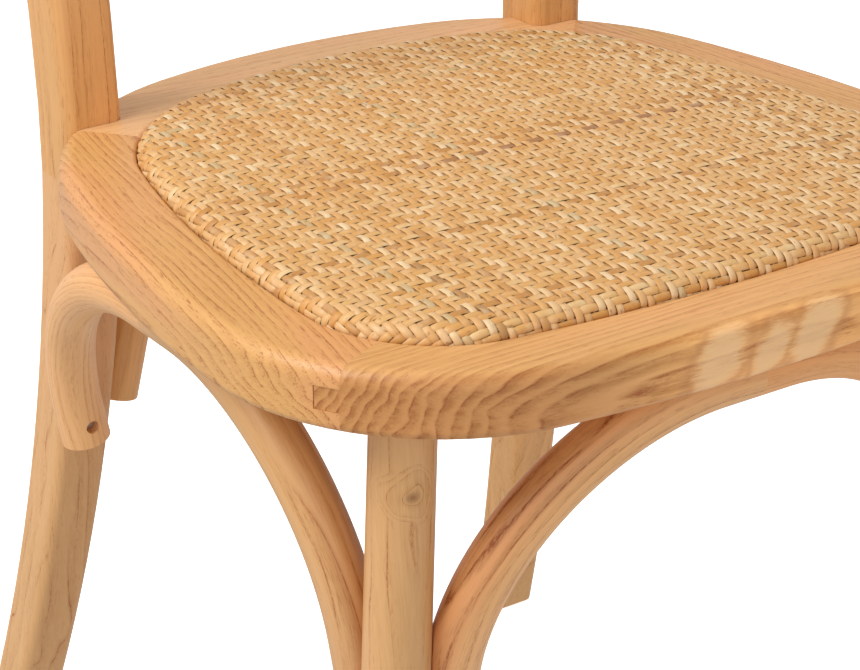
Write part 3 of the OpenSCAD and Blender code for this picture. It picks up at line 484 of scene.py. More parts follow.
def meeting(a, p, b, q, near):
    gap = np.linalg.norm(b - a)
    u = unit(b - a)
    along = (p * p - q * q + gap * gap) / (2 * gap)
    aside = math.sqrt(p * p - along * along)
    found = [a + u * along + leftOf(u) * aside, a + u * along - leftOf(u) * aside]
    return min(found, key=lambda f: np.linalg.norm(f - near))


def seatOutline(insets, radii, sideSteps=24, cornerSteps=40):
    line = chair["frontLine"]
    front, rear = (w / 2 for w in chair["seatWidths"])
    back = line + chair["seatDepth"]
    sharp = [np.array(p) for p in ((-front, line), (front, line), (rear, back), (-rear, back))]
    sides = [bowCircle(sharp[i], sharp[(i + 1) % 4], chair["bows"][i]) for i in range(4)]
    radiiIn = [sides[i][1] - insets[i] for i in range(4)]
    rounds = []
    for i in range(4):
        j = (i + 1) % 4
        reaches = radiiIn[i] - radii[i], radiiIn[j] - radii[i]
        rounds.append(meeting(sides[i][0], reaches[0], sides[j][0], reaches[1], sharp[j]))
    points = []
    for i in range(4):
        centre = sides[i][0]
        start = heading(rounds[i - 1] - centre)
        end = heading(rounds[i] - centre)
        end += 2 * math.pi * (end < start)
        for k in range(sideSteps):
            points.append(centre + radiiIn[i] * direction(start + (end - start) * k / sideSteps))
        turn = heading(rounds[i] - centre)
        past = heading(rounds[i] - sides[(i + 1) % 4][0])
        past += 2 * math.pi * (past < turn)
        for k in range(cornerSteps):
            points.append(rounds[i] + radii[i] * direction(turn + (past - turn) * k / cornerSteps))
    return np.array(points)


def openingOutline(inset):
    return seatOutline([b + inset for b in chair["openingBands"]], [r - inset for r in chair["openingRadii"]])


lean = math.radians(chair["lean"])
bendLength = chair["bendRadius"] * lean
leanStart = chair["upright"] + bendLength
backLine = chair["frontLine"] + chair["post"][1]


def sheetLean(u):
    return lean * min(1, max(0, (u - chair["upright"]) / bendLength))


def onSheet(x, u):
    here = sheetLean(u)
    past = max(0, u - leanStart)
    upright = min(u, chair["upright"])
    return np.array([
        x,
        backLine + chair["bendRadius"] * (1 - math.cos(here)) + past * math.sin(lean),
        chair["frameUnder"] + upright + chair["bendRadius"] * math.sin(here) + past * math.cos(lean),
    ])


def sheetBack(u):
    here = sheetLean(u)
    return np.array([0, math.cos(here), -math.sin(here)])


# the hoop's middle line in its sheet: across, and up along the posts
crestFlats = [side / 2 - chair["sectionRound"] for side in chair["crestSection"]]
crestReach = crestFlats[0] * math.cos(lean) + crestFlats[1] * math.sin(lean) + chair["sectionRound"]
crestUp = leanStart + (chair["backHeight"] - crestReach - chair["frameUnder"] - chair["upright"]
                       - chair["bendRadius"] * math.sin(lean)) / math.cos(lean)
flareStart = chair["flareStart"]
flareWay = direction(math.radians(90 - chair["flare"]))
crestCentre = np.array([0, crestUp - chair["crestRadius"]])
shoulderLine = np.array([chair["post"][0], flareStart]) + chair["shoulderRadius"] * leftOf(flareWay)
away = shoulderLine - crestCentre
reach = chair["crestRadius"] - chair["shoulderRadius"]
shoulderRise = math.sqrt((away @ flareWay) ** 2 - away @ away + reach ** 2) - away @ flareWay
shoulderCentre = shoulderLine + flareWay * shoulderRise
crestStart = heading(shoulderCentre - crestCentre)


def hoopLine(steps=24, crestSteps=8):
    points = [np.array([chair["post"][0], u]) for u in (0.0, flareStart / 2, flareStart)]
    top = shoulderCentre + chair["shoulderRadius"] * direction(math.radians(-chair["flare"]))
    points += [points[2] + (top - points[2]) * k / steps for k in range(1, steps + 1)]
    flare = math.radians(-chair["flare"])
    points += [shoulderCentre + chair["shoulderRadius"] * direction(flare + (crestStart - flare) * k / steps)
               for k in range(1, steps + 1)]
    rest = math.pi / 2 - crestStart
    points += [crestCentre + chair["crestRadius"] * direction(crestStart + rest * k / crestSteps)
               for k in range(1, crestSteps + 1)]
    return points + [np.array([-p[0], p[1]]) for p in points[-2::-1]]


# wooden pieces keep their CAD form: a merged copy carries the run of its grain


def followPath(places, path, asides, backs):
    start, step = path[:-1], path[1:] - path[:-1]
    length = np.linalg.norm(step, axis=1)
    way = step / length[:, None]
    before = np.concatenate([[0], np.cumsum(length)[:-1]])
    away = places[:, None, :] - start[None]
    share = np.clip(np.einsum("pkc,kc->pk", away, way), 0, length)
    gap = np.linalg.norm(away - share[..., None] * way[None], axis=2)
    k = gap.argmin(1)
    rows = np.arange(len(places))
    off = away[rows, k] - share[rows, k][:, None] * way[k]
    return np.stack([before[k] + share[rows, k], (off * asides[k]).sum(1), (off * backs[k]).sum(1)], 1)


def hoopGrain(places):
    line = hoopLine()
    path = np.array([onSheet(*p) for p in line])
    backs = np.array([sheetBack(p[1]) for p in line[:-1]])
    ways = np.diff(path, axis=0)
    asides = np.cross(ways / np.linalg.norm(ways, axis=1)[:, None], backs)
    return followPath(places, path, asides, backs)


archSettings = {
    "crownHeight": 430.5,
    "front": {"place": (0, 4), "crown": 20, "radius": 136, "bend": 90, "tail": 48, "lean": 14.2, "turn": 0},
    "rear": {"place": (0, 416), "crown": 0, "radius": 138, "bend": 76, "tail": 36, "lean": 0, "turn": 0},
    "sideFront": {"place": (208, 229.25), "crown": 22.25, "radius": 130, "bend": 90, "tail": 58, "lean": 9,
                  "turn": -90},
    "sideRear": {"place": (208, 229.25), "crown": 16.25, "radius": 136, "bend": 90, "tail": 11, "lean": 11,
                 "turn": 90},
}


def archPath(crown, radius, bend, tail, matrix, steps=32):
    points = [(0, 0, 0), (crown + 0.01, 0, 0)]  # no step has a length of zero
    for k in range(1, steps + 1):
        a = math.radians(bend) * k / steps
        points.append((crown + radius * math.sin(a), 0, radius * (math.cos(a) - 1)))
    a = math.radians(bend)
    points.append((points[-1][0] + tail * math.cos(a), 0, points[-1][2] - tail * math.sin(a)))
    path = np.array([matrix @ Vector(p) for p in points])
    side = np.array(matrix.to_3x3() @ Vector((0, 1, 0)))
    backs = np.tile(side, (len(path) - 1, 1))
    ways = np.diff(path, axis=0)
    return path, np.cross(ways / np.linalg.norm(ways, axis=1)[:, None], backs), backs


def archGrain(kind, mirrored):
    a = archSettings[kind]
    place = (a["place"][0], chair["frontLine"] + a["place"][1], archSettings["crownHeight"])
    matrix = (Matrix.Translation(place)
              @ Matrix.Rotation(math.radians(a["lean"]), 4, "Y" if a["turn"] else "X")
              @ Matrix.Rotation(math.radians(a["turn"]), 4, "Z"))
    path, asides, backs = archPath(a["crown"], a["radius"], a["bend"], a["tail"], matrix)

    def grain(places):
        places = places * np.array([-1.0, 1, 1]) if mirrored else places
        return followPath(places, path, asides, backs)
    return grain


def alongX(places):
    return places


def alongY(places):
    return places[:, [1, 0, 2]]


def alongZ(places):
    return places[:, [2, 0, 1]]


def dressNode(node, grain, material, smoothAngle=34):
    source = nodes[node]
    bm = bmesh.new()
    bm.from_mesh(source.data)
    bmesh.ops.remove_doubles(bm, verts=bm.verts, dist=1e-6)
    bmesh.ops.dissolve_degenerate(bm, dist=1e-7, edges=bm.edges)
    limit = math.radians(smoothAngle)
    for edge in bm.edges:
        edge.smooth = len(edge.link_faces) == 2 and edge.calc_face_angle(0) < limit
    for face in bm.faces:
        face.smooth = True
    mesh = meshFrom(bm, node + "_look")
    writeAttribute(mesh, "grainPlace", "FLOAT_VECTOR", "vector", grain(readPlaces(mesh) * 1000) / 1000)
    mesh.materials.append(material)
    piece = addPiece(node + "_look", mesh)
    weighted = piece.modifiers.new("flatFaces", "WEIGHTED_NORMAL")
    weighted.keep_sharp = True
    weighted.weight = 80
    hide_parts(node)


# painted shade on the side of a piece that faces one way, partly the wood's own darker tone there
def paintedShadeSettings(way, share, fade=(1.0, 2.0)):
    return {"way": way, "share": share, "fade": fade}


woodPieces = {
    "seat_rail_front": (alongX, "honey", {
        "shift": (0.3, 0.101, -0.498), "RingWidth": 4.6, "RingStrength": 0.32, "LineStrength": 0.5,
        "PoreStrength": 0.5, "Waver": 3.0, "shade": frontRailSide}),
    "seat_rail_rear": (alongX, "blush", {
        "shift": (1.1, -0.09, -0.50), "tilt": (0, 1, 2), "RingWidth": 6.0, "RingStrength": 0.15,
        "LineStrength": 0.3, "PoreStrength": 0.5}),
    "seat_rail_left": (alongY, "rosy", {
        "shift": (0.7, 0.10, -0.52), "tilt": (0, 1, -8.5), "RingWidth": 4.2, "RingStrength": 0.3,
        "LineStrength": 1.0, "PoreStrength": 0.85, "Waver": 5.0}),
    "seat_rail_right": (alongY, "rosy", {
        "shift": (2.7, -0.12, -0.52), "tilt": (0, -1, 8.5), "RingWidth": 4.4, "RingStrength": 0.3,
        "LineStrength": 1.0, "PoreStrength": 0.85, "Waver": 5.0}),
    "front_leg_left": (alongZ, "pale", {
        "shift": (0.2, 0.163, 0.160), "tilt": (0, 2.6, 2.2), "RingWidth": 7.5, "RingStrength": 0.16,
        "LineStrength": 0.95, "PoreStrength": 0.3, "Waver": 7.0, "Knot": (0.5991, -0.0086, -0.0652),
        "KnotSize": 7.0}),
    "front_leg_right": (alongZ, "pale", {
        "shift": (1.2, -0.155, 0.2), "tilt": (0, 2, 3), "RingWidth": 7.0, "RingStrength": 0.16,
        "LineStrength": 0.9, "Waver": 6.0}),
    "rear_leg_left": (alongZ, "pale", {
        "shift": (2.2, 0.23, -0.15), "tilt": (0, -6, 4), "RingWidth": 9.0, "RingStrength": 0.16,
        "LineStrength": 0.85, "Waver": 7.0, "shade": paintedShadeSettings((0.5, -0.86, 0), 0.12)}),
    "rear_leg_right": (alongZ, "honey", {
        "shift": (3.2, -0.21, -0.21), "tilt": (0, -7, -3), "RingWidth": 9.0, "RingStrength": 0.18,
        "LineStrength": 0.8, "Waver": 6.0}),
    "back_hoop": (hoopGrain, "honey", {
        "shift": (4.2, 0.036, 0.030), "tilt": (0, 0, 1.0), "RingWidth": 8.0, "RingStrength": 0.2,
        "LineStrength": 0.9, "PoreStrength": 0.55, "Waver": 6.0}),
    "back_rail": (alongX, "honey", {
        "shift": (5.2, -0.25, -0.63), "tilt": (0, 2, 2), "RingWidth": 5.5, "RingStrength": 0.2,
        "LineStrength": 0.7}),
    "front_brace_left": (archGrain("front", True), "peachWithPaintedBounce", {
        "shift": (6.2, 0.03, 0.02), "RingWidth": 7.5, "RingStrength": 0.3, "LineStrength": 1.0,
        "PoreStrength": 0.5, "shade": paintedShadeSettings((-0.85, -0.2, 0.5), 0.5, (0.16, 0.02))}),
    "front_brace_right": (archGrain("front", False), "amberWithPaintedBounce", {
        "shift": (7.2, 0.02, 0.03), "RingWidth": 9.0, "RingStrength": 0.25, "LineStrength": 0.8}),
    "rear_brace_left": (archGrain("rear", True), "honey", {
        "shift": (8.2, 0.025, 0.02), "RingWidth": 8.0, "RingStrength": 0.25}),
    "rear_brace_right": (archGrain("rear", False), "brown", {
        "shift": (9.2, 0.02, 0.02), "RingWidth": 8.0, "RingStrength": 0.25}),
    "side_brace_left_front": (archGrain("sideFront", True), "pale", {
        "shift": (10.2, 0.022, 0.03), "RingWidth": 8.0, "RingStrength": 0.25, "LineStrength": 1.0,
        "PoreStrength": 0.4, "shade": paintedShadeSettings((0.3, -0.9, 0.3), 0.4)}),
    "side_brace_left_rear": (archGrain("sideRear", True), "peachWithPaintedBounce", {
        "shift": (11.2, 0.03, 0.02), "RingWidth": 3.4, "RingStrength": 0.18, "LineStrength": 0.4}),
    "side_brace_right_front": (archGrain("sideFront", False), "honey", {
        "shift": (12.2, 0.02, 0.03), "RingWidth": 9.0, "RingStrength": 0.25}),
    "side_brace_right_rear": (archGrain("sideRear", False), "honey", {
        "shift": (13.2, 0.02, 0.03), "RingWidth": 6.0, "RingStrength": 0.2}),
}
for node, (grain, tone, values) in woodPieces.items():
    dressNode(node, grain, woodMaterial(node + "_grain", tone, **values))
for node, grain in (("crown_dowels", alongX), ("post_dowels", alongZ)):
    dressNode(node, grain, woodMaterial(node + "_grain", "pale", RingWidth=6.0))
print("wood dressed")

# woven rattan


def makeStrandSkin():
    group, given, result = newGroup("strandSkin", [
        ("Place", "NodeSocketVector", (0, 0, 0)),
        ("Tone", "NodeSocketColor", (0.8, 0.6, 0.3, 1)),
    ], [("Color", "NodeSocketColor"), ("Roughness", "NodeSocketFloat"), ("Height", "NodeSocketFloat")])
    place = scaled(group, given["Place"], 1000.0)
    lines = noise(group, place, (0.06, 2.6, 0.013), 3.0, 0.65)
    patches = noise(group, place, (0.085, 0.1, 0.0173))
    marks = noise(group, place, (0.22, 0.35, 0.0211), 1.0)
    marks = spread(group, marks, 0.66, 0.76)
    colour = blendColours(group, spread(group, lines, 0.3, 0.75, 0.0, 0.34, False), given["Tone"],
                          (0.42, 0.22, 0.075, 1))
    colour = blendColours(group, spread(group, patches, 0.45, 0.75, 0.0, 0.5, False), colour,
                          (0.66, 0.33, 0.075, 1))
    colour = blendColours(group, spread(group, patches, 0.5, 0.25, 0.0, 0.4, False), colour,
                          (0.93, 0.74, 0.46, 1))
    colour = blendColours(group, calc(group, "MULTIPLY", marks, 0.55), colour, (0.30, 0.14, 0.05, 1))
    feed(group, result["Color"], colour)
    feed(group, result["Roughness"], spread(group, lines, 0.25, 0.8, 0.34, 0.56, False))
    feed(group, result["Height"], lines)
    return group


strandSkin = makeStrandSkin()


def strandMaterial(name, placeName="strandPlace", tone=None, relief=0.5, gloss=0.45):
    material, tree, shader = makeMaterial(name)
    skin = useGroup(tree, strandSkin)
    feed(tree, skin.inputs["Place"], readAttribute(tree, placeName)["Vector"])
    feed(tree, skin.inputs["Tone"], tone or readAttribute(tree, "strandTone")["Color"])
    feed(tree, shader.inputs["Base Color"], skin.outputs["Color"])
    feed(tree, shader.inputs["Roughness"], skin.outputs["Roughness"])
    addBump(tree, shader, skin.outputs["Height"], 0.0002, relief)
    shader.inputs["Specular IOR Level"].default_value = gloss
    return material


strandSettings = {
    "count": 400,
    "crossings": 4,
    "steepness": 1.9,
    "widthWander": 0.05,
    "placeScale": (4.7, 2.2, 37.0),
    "flatSpacing": 0.62,
    "tubeSpacing": 0.6,
    "rodGap": 10,
    "fewestSamples": 8,
}
weave = {
    "turn": -2.0,
    "pitch": (4.58, 4.82),
    "width": (4.1, 4.5),
    "lift": (0.88, -0.5),
    "edgeDrop": 0.6,
    "edgePower": 5,
    "stray": 0.16,
    "sway": 0.22,
    "swaySpeed": (0.29, 0.31),
    "widthSpeed": (5, 7),
    "reach": (242, 240),
    "samples": (-60, 60, 0.25),
    "stepsPerCrossing": 5,
    # painted highlight and painted shade: the strands that run along are tinted paler, and those that run
    # across more orange
    "alongPaintedHighlight": (1.03, 1.09, 1.24),
    "acrossPaintedShade": (0.98, 0.93, 0.80),
    "darkPlace": 199.5,
    "darkRun": (-17, 36),
    "darkFade": (8, 10),
    "darkTone": (0.40, 0.17, 0.07),
    "greenAfterDark": 26,
    "greenShare": 0.5,
    "greenTone": (0.50, 0.47, 0.25),
    "palePlace": -139.5,
    "paleTone": (0.90, 0.67, 0.39),
    "brownBelow": -22,
    "brownShare": 0.85,
    "brownTone": (0.40, 0.21, 0.085),
    "seed": 11,
}
pad = {
    "gap": 0.4,
    "dip": 2.0,
    "shoulder": 8.0,
    "crown": 11.0,
    "shoulderWidth": 13.0,
    "shoulderSteps": 90,
    "crownReach": 178.0,
    "wall": 7.0,
    "sink": 0.62,
    "coreSink": 1.45,
    "coreWall": 3.4,
    "coreShoulderRings": 7,
    "coreInnerRings": [24, 40],
    "coreMiddleShares": (0.2, 0.4, 0.6, 0.8, 1.0),
}
strandTones = [
    ((0.80, 0.465, 0.19), 10), ((0.83, 0.52, 0.235), 8), ((0.77, 0.41, 0.145), 7),
    ((0.86, 0.58, 0.295), 4), ((0.70, 0.35, 0.105), 3), ((0.62, 0.43, 0.20), 1.1),
    ((0.58, 0.275, 0.085), 0.9), ((0.90, 0.65, 0.37), 0.8),
]


def pickTones(random, count):
    colours = np.array([t[0] for t in strandTones])
    weights = np.array([t[1] for t in strandTones], float)
    return colours[random.choice(len(colours), count, p=weights / weights.sum())]


padEdge = openingOutline(pad["gap"])


def insideDistance(points, edge):  # depth inside a closed outline, and the way inwards from its nearest side
    step = np.roll(edge, -1, axis=0) - edge
    length = (step ** 2).sum(1)
    depth = np.empty(len(points))
    inward = np.empty((len(points), 2))
    batch = 20000
    for first in range(0, len(points), batch):
        part = points[first:first + batch]
        off = part[:, None, :] - edge[None]
        share = np.clip((off * step[None]).sum(2) / length[None], 0, 1)
        gap = off - share[..., None] * step[None]
        reach = np.linalg.norm(gap, axis=2)
        k = reach.argmin(1)
        rows = np.arange(len(part))
        side = step[k, 0] * gap[rows, k, 1] - step[k, 1] * gap[rows, k, 0]
        normal = np.stack([-step[k, 1], step[k, 0]], 1) / np.sqrt(length[k])[:, None]
        depth[first:first + batch] = np.where(side >= 0, 1, -1) * reach[rows, k]
        inward[first:first + batch] = normal
    return depth, inward


# the pad's shoulder as a table of arc length, inset and height
shoulderAngles = np.linspace(math.pi / 2, 0, pad["shoulderSteps"])
shoulderInset = pad["shoulderWidth"] * (1 - np.cos(shoulderAngles))
shoulderHeight = (pad["shoulder"] + pad["dip"]) * np.sin(shoulderAngles) - pad["dip"]
shoulderArc = np.concatenate([[0], np.cumsum(np.hypot(np.diff(shoulderInset), np.diff(shoulderHeight)))])


def onPad(flat, height):
    depth, inward = insideDistance(flat, padEdge)
    arc = np.clip(pad["shoulderWidth"] - depth, 0, None)
    inset = np.interp(arc, shoulderArc, shoulderInset)
    rise = np.interp(arc, shoulderArc, shoulderHeight) - np.clip(arc - shoulderArc[-1], 0, None)
    angle = np.interp(arc, shoulderArc, shoulderAngles)
    inner = np.clip((depth - pad["shoulderWidth"]) / pad["crownReach"], 0, 1)
    rise = rise + (pad["crown"] - pad["shoulder"]) * (1 - (1 - inner) ** 2)
    plan = flat + inward * np.where(arc > 0, inset - depth, 0)[:, None]
    offset = height - pad["sink"]
    plan = plan - inward * (np.cos(angle) * offset)[:, None]
    return np.column_stack([plan, chair["frameTop"] + rise + np.sin(angle) * offset])


def strandRun(strands, numbers, share):
    spans = dict(strands)
    low = np.array([spans[n][0] for n in numbers])
    high = np.array([spans[n][1] for n in numbers])
    return low + (high - low) * (share + 1) / 2


def towardsEdges(side, power):  # sets a strand's inner lines nearer its edges, where it turns down
    return np.sign(side) * np.abs(side) ** power


def finishStrands(name, mesh, points, numbers, run, side, tones, material):
    mesh.vertices.foreach_set("co", (points / 1000).astype(np.float32).ravel())
    coords = np.column_stack([run, side, numbers]) * strandSettings["placeScale"] / 1000
    writeAttribute(mesh, "strandPlace", "FLOAT_VECTOR", "vector", coords)
    colours = np.column_stack([tones(numbers, run), np.ones(len(run))])
    writeAttribute(mesh, "strandTone", "FLOAT_COLOR", "color", colours)
    mesh.polygons.foreach_set("use_smooth", np.ones(len(mesh.polygons), bool))
    mesh.materials.append(material)
    mesh.update()
    return addPiece(name, mesh)


# own is 0 for the strands that run along v, and 1 for those that run along u
def flatPlace(own, numbers, run, pitch):
    places = np.empty((len(run), 2))
    places[:, own] = numbers * pitch[own]
    places[:, 1 - own] = run * pitch[1 - own]
    return places


# each strand starts as a flat grid from -1 to 1, at its own number in z
def strandMesh(name, strands, segments, place, tones, material, flip=False, across=4):
    bm = bmesh.new()
    for number, span in strands:
        count = max(2, int((span[1] - span[0]) * segments))
        bmesh.ops.create_grid(bm, x_segments=count, y_segments=across, size=1,
                              matrix=Matrix.Translation((0, 0, number)))
    if flip:
        bmesh.ops.reverse_faces(bm, faces=bm.faces)
    mesh = meshFrom(bm, name)
    coded = readPlaces(mesh)
    numbers = np.rint(coded[:, 2]).astype(int)
    run = strandRun(strands, numbers, coded[:, 0])
    side = towardsEdges(coded[:, 1], strandSettings["flatSpacing"])
    return finishStrands(name, mesh, place(numbers, run, side), numbers, run, side, tones, material)


# each strand starts as an upright rod of radius 1, at its own number times rodGap in x
def strandTubes(name, strands, segments, place, tones, material, around=6):
    apart = strandSettings["rodGap"]
    bm = bmesh.new()
    for number, span in strands:
        made = bmesh.ops.create_cone(bm, cap_ends=True, cap_tris=False, segments=around, radius1=1, radius2=1,
                                     depth=2, matrix=Matrix.Translation((apart * number, 0, 0)))
        edges = dict.fromkeys(e for v in made["verts"] for e in v.link_edges)
        lengths = [e for e in edges if abs(e.verts[0].co.z - e.verts[1].co.z) > 1]
        bmesh.ops.subdivide_edges(bm, edges=lengths, cuts=max(2, int((span[1] - span[0]) * segments)))
    bmesh.ops.recalc_face_normals(bm, faces=bm.faces)
    mesh = meshFrom(bm, name)
    coded = readPlaces(mesh)
    numbers = np.rint(coded[:, 0] / apart).astype(int)
    run = strandRun(strands, numbers, coded[:, 2])
    side = towardsEdges(coded[:, 0] - apart * numbers, strandSettings["tubeSpacing"])
    points = place(numbers, run, side, coded[:, 1])
    return finishStrands(name, mesh, points, numbers, run, side, tones, material)


def wave(numbers, run):  # 1 where a strand lies on top of two others, and -1 where it lies under the next two
    c = np.cos(2 * math.pi * (run + numbers - 0.5) / strandSettings["crossings"])
    return np.tanh(strandSettings["steepness"] * c) / math.tanh(strandSettings["steepness"])


def blendTone(base, share, tone):
    share = share[:, None]
    return base * (1 - share) + np.array(tone) * share


def seatWeave():  # u runs from side to side, and v from front to back
    random = np.random.default_rng(weave["seed"])
    count = strandSettings["count"]
    pitch = weave["pitch"]
    turn = math.radians(weave["turn"])
    spin = np.array([[math.cos(turn), -math.sin(turn)], [math.sin(turn), math.cos(turn)]])
    middle = np.array([0, padEdge[:, 1].mean()])
    shift = random.normal(0, weave["stray"], count), random.normal(0, weave["stray"], count)
    wobble = random.uniform(0, 6.28, (count, 2))
    material = strandMaterial("seatRattan")

    def placeFor(own):
        def place(numbers, run, side):
            wander = np.sin(wobble[numbers, own] * weave["widthSpeed"][own])
            width = weave["width"][own] * (1 + strandSettings["widthWander"] * wander)
            sway = weave["sway"] * np.sin(run * weave["swaySpeed"][own] + wobble[numbers, 1 - own])
            places = flatPlace(own, numbers, run, pitch)
            places[:, own] += shift[own][numbers] + sway + side * width / 2
            drop = weave["edgeDrop"] * np.abs(side) ** weave["edgePower"]
            return onPad(places @ spin.T + middle, weave["lift"][own] * wave(numbers, run) - drop)
        return place

    def spans(own):  # a strand runs as far as the pad's wall
        reach = int(weave["reach"][own] / pitch[own])
        run = np.arange(*weave["samples"])
        found = []
        for number in range(-reach, reach + 1):
            depth, _ = insideDistance(flatPlace(own, number, run, pitch) @ spin.T + middle, padEdge)
            keep = run[depth > pad["shoulderWidth"] - shoulderArc[-1] - pad["wall"]]
            if len(keep) > strandSettings["fewestSamples"]:
                found.append((number, (keep[0], keep[-1])))
        return found

    # painted shade on the strands that run across, painted highlight on those that run along
    acrossShadedTones = pickTones(random, count) * np.array(weave["acrossPaintedShade"])
    alongHighlightedTones = pickTones(random, count) * np.array(weave["alongPaintedHighlight"])
    darkStrand = round((chair["frontLine"] + weave["darkPlace"] - middle[1]) / pitch[1])
    paleStrand = round(weave["palePlace"] / pitch[0])

    def toneAcross(numbers, run):
        (start, end), (fadeIn, fadeOut) = weave["darkRun"], weave["darkFade"]
        dark = np.clip((run - start) / fadeIn, 0, 1) * np.clip((end - run) / fadeOut, 0, 1)
        base = blendTone(acrossShadedTones[numbers], (numbers == darkStrand) * dark, weave["darkTone"])
        green = (numbers == darkStrand + weave["greenAfterDark"]) * weave["greenShare"]
        return blendTone(base, green, weave["greenTone"])

    def toneAlong(numbers, run):
        base = blendTone(alongHighlightedTones[numbers], (numbers == paleStrand) * 1.0, weave["paleTone"])
        brown = (numbers == paleStrand + 1) * (run < weave["brownBelow"]) * weave["brownShare"]
        return blendTone(base, brown, weave["brownTone"])

    pieces = []
    for own, label, tones in ((1, "Across", toneAcross), (0, "Along", toneAlong)):
        chosen = spans(own)
        half = len(chosen) // 2
        for part, strands in enumerate((chosen[:half], chosen[half:])):
            pieces.append(strandMesh(f"seatStrands{label}{part}", strands, weave["stepsPerCrossing"],
                                     placeFor(own), tones, material, flip=own == 0))
    return pieces


def ringedPiece(name, rings, material):
    count = len(rings[0])
    bm = bmesh.new()
    bmesh.ops.create_grid(bm, x_segments=count, y_segments=len(rings) - 1, size=1)
    for v in bm.verts:
        column = round((v.co.x + 1) / 2 * count) % count
        row = round((v.co.y + 1) / 2 * (len(rings) - 1))
        v.co = Vector(rings[row][column]) / 1000
    bmesh.ops.remove_doubles(bm, verts=bm.verts, dist=1e-6)
    bmesh.ops.recalc_face_normals(bm, faces=bm.faces)
    for f in bm.faces:
        f.smooth = True
    mesh = meshFrom(bm, name)
    mesh.materials.append(material)
    return addPiece(name, mesh)


# painted shade: the core under the strands is a near black brown, so the gaps between strands read as deep
# shade
def paintedShadeCoreMaterial():
    material, tree, shader = makeMaterial("padCorePaintedShade")
    fuzz = noise(tree, objectPlace(tree), (900, 900, 900), 3.0)
    colour = blendColours(tree, fuzz, (0.11, 0.045, 0.012, 1), (0.22, 0.10, 0.032, 1))
    feed(tree, shader.inputs["Base Color"], colour)
    addBump(tree, shader, fuzz, 0.0004)
    shader.inputs["Roughness"].default_value = 0.8
    return material


def seatCore():  # closed rings from the foot of the pad's wall over its shoulder to its middle
    wall = pad["shoulderWidth"] - shoulderArc[-1] - pad["coreWall"]
    brink = wall + pad["coreWall"]
    depths = [wall, *np.linspace(brink, pad["shoulderWidth"], pad["coreShoulderRings"] + 1)]
    outlines = [openingOutline(pad["gap"] + d)[::2] for d in depths + pad["coreInnerRings"]]
    middle = outlines[-1].mean(0)
    outlines += [outlines[-1] + (middle - outlines[-1]) * share for share in pad["coreMiddleShares"]]
    rings = [onPad(o, pad["sink"] - pad["coreSink"]) for o in outlines]
    base = rings[0].mean(0)
    base[2] = rings[0][0, 2]
    rings = [np.tile(base, (len(rings[0]), 1))] + rings
    core = ringedPiece("seatPad", rings, paintedShadeCoreMaterial())
    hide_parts("seat_weave", "seat_foam")


seatCore()
seatStrands = seatWeave()
print("seat woven:", sum(len(p.data.polygons) for p in seatStrands), "faces")

# back panel, seen from both sides

panel = {
    "pitch": (4.6, 4.6),
    "width": 4.4,
    "thickness": 0.95,
    "lift": (0.6, -0.6),
    "sway": 0.2,
    "swaySpeed": (0.27, 0.3),
    "numbers": (range(-45, 46), range(20, 110)),
    "samples": (-40, 140, 0.2),
    "rayStart": 60.0,
    "rayLength": 120.0,
    "endTrim": 0.2,
    "steps": 3,
    "behind": 2.0,
    "seed": 23,
}


def backPanel():  # u runs from side to side, and v up the panel
    random = np.random.default_rng(panel["seed"])
    pitch = panel["pitch"]
    foot = onSheet(0, leanStart)
    rise = np.array([0, math.sin(lean), math.cos(lean)])
    back = sheetBack(leanStart)
    source = nodes["back_weave"].data
    tree = BVHTree.FromPolygons([v.co for v in source.vertices], [p.vertices for p in source.polygons])
    wobble = random.uniform(0, 6.28, (strandSettings["count"], 2))

    def onPanel(places, height):
        return (foot + np.outer(places[:, 1] - leanStart, rise) + np.outer(places[:, 0], [1, 0, 0])
                + np.outer(panel["behind"] - height, back))

    def spans(own):  # a strand runs where rays from before the panel meet the plate of back_weave
        run = np.arange(*panel["samples"])
        start = np.full(len(run), panel["rayStart"])
        length = panel["rayLength"] / 1000
        found = []
        for number in panel["numbers"][own]:
            points = onPanel(flatPlace(own, number, run, pitch), start) / 1000
            keep = [k for k, p in zip(run, points) if tree.ray_cast(Vector(p), Vector(back), length)[0]]
            if len(keep) > strandSettings["fewestSamples"]:
                found.append((number, (keep[0] + panel["endTrim"], keep[-1] - panel["endTrim"])))
        return found

    def placeFor(own):
        def place(numbers, run, side, bulge):
            sway = panel["sway"] * np.sin(run * panel["swaySpeed"][own] + wobble[numbers, 1 - own])
            places = flatPlace(own, numbers, run, pitch)
            places[:, own] += sway + side * panel["width"] / 2
            return onPanel(places, panel["lift"][own] * wave(numbers, run) + bulge * panel["thickness"] / 2)
        return place

    tones = {own: pickTones(random, strandSettings["count"]) for own in (1, 0)}
    material = strandMaterial("backRattan")
    pieces = [strandTubes(name, spans(own), panel["steps"], placeFor(own),
                          lambda numbers, run, own=own: tones[own][numbers], material)
              for own, name in ((1, "backStrandsAcross"), (0, "backStrandsAlong"))]
    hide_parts("back_weave")
    return pieces


backStrands = backPanel()
print("back woven:", sum(len(p.data.polygons) for p in backStrands), "faces")


reedSkin = strandMaterial("reedSkin", "grainPlace", (0.84, 0.60, 0.30, 1), relief=0.4, gloss=0.5)
dressNode("back_reed", hoopGrain, reedSkin, smoothAngle=50)

# metal, plastic and plywood


def makeFineMarks():
    group, given, result = newGroup("fineMarks", [
        ("Place", "NodeSocketVector", (0, 0, 0)),
        ("Low", "NodeSocketFloat", 0.25),
        ("High", "NodeSocketFloat", 0.5),
    ], [("Mask", "NodeSocketFloat"), ("Roughness", "NodeSocketFloat")])
    fine = noise(group, given["Place"], (900, 900, 2600), 3.0)
    feed(group, result["Mask"], fine)
    feed(group, result["Roughness"], spread(group, fine, 0.3, 0.7, given["Low"], given["High"], False))
    return group


fineMarks = makeFineMarks()


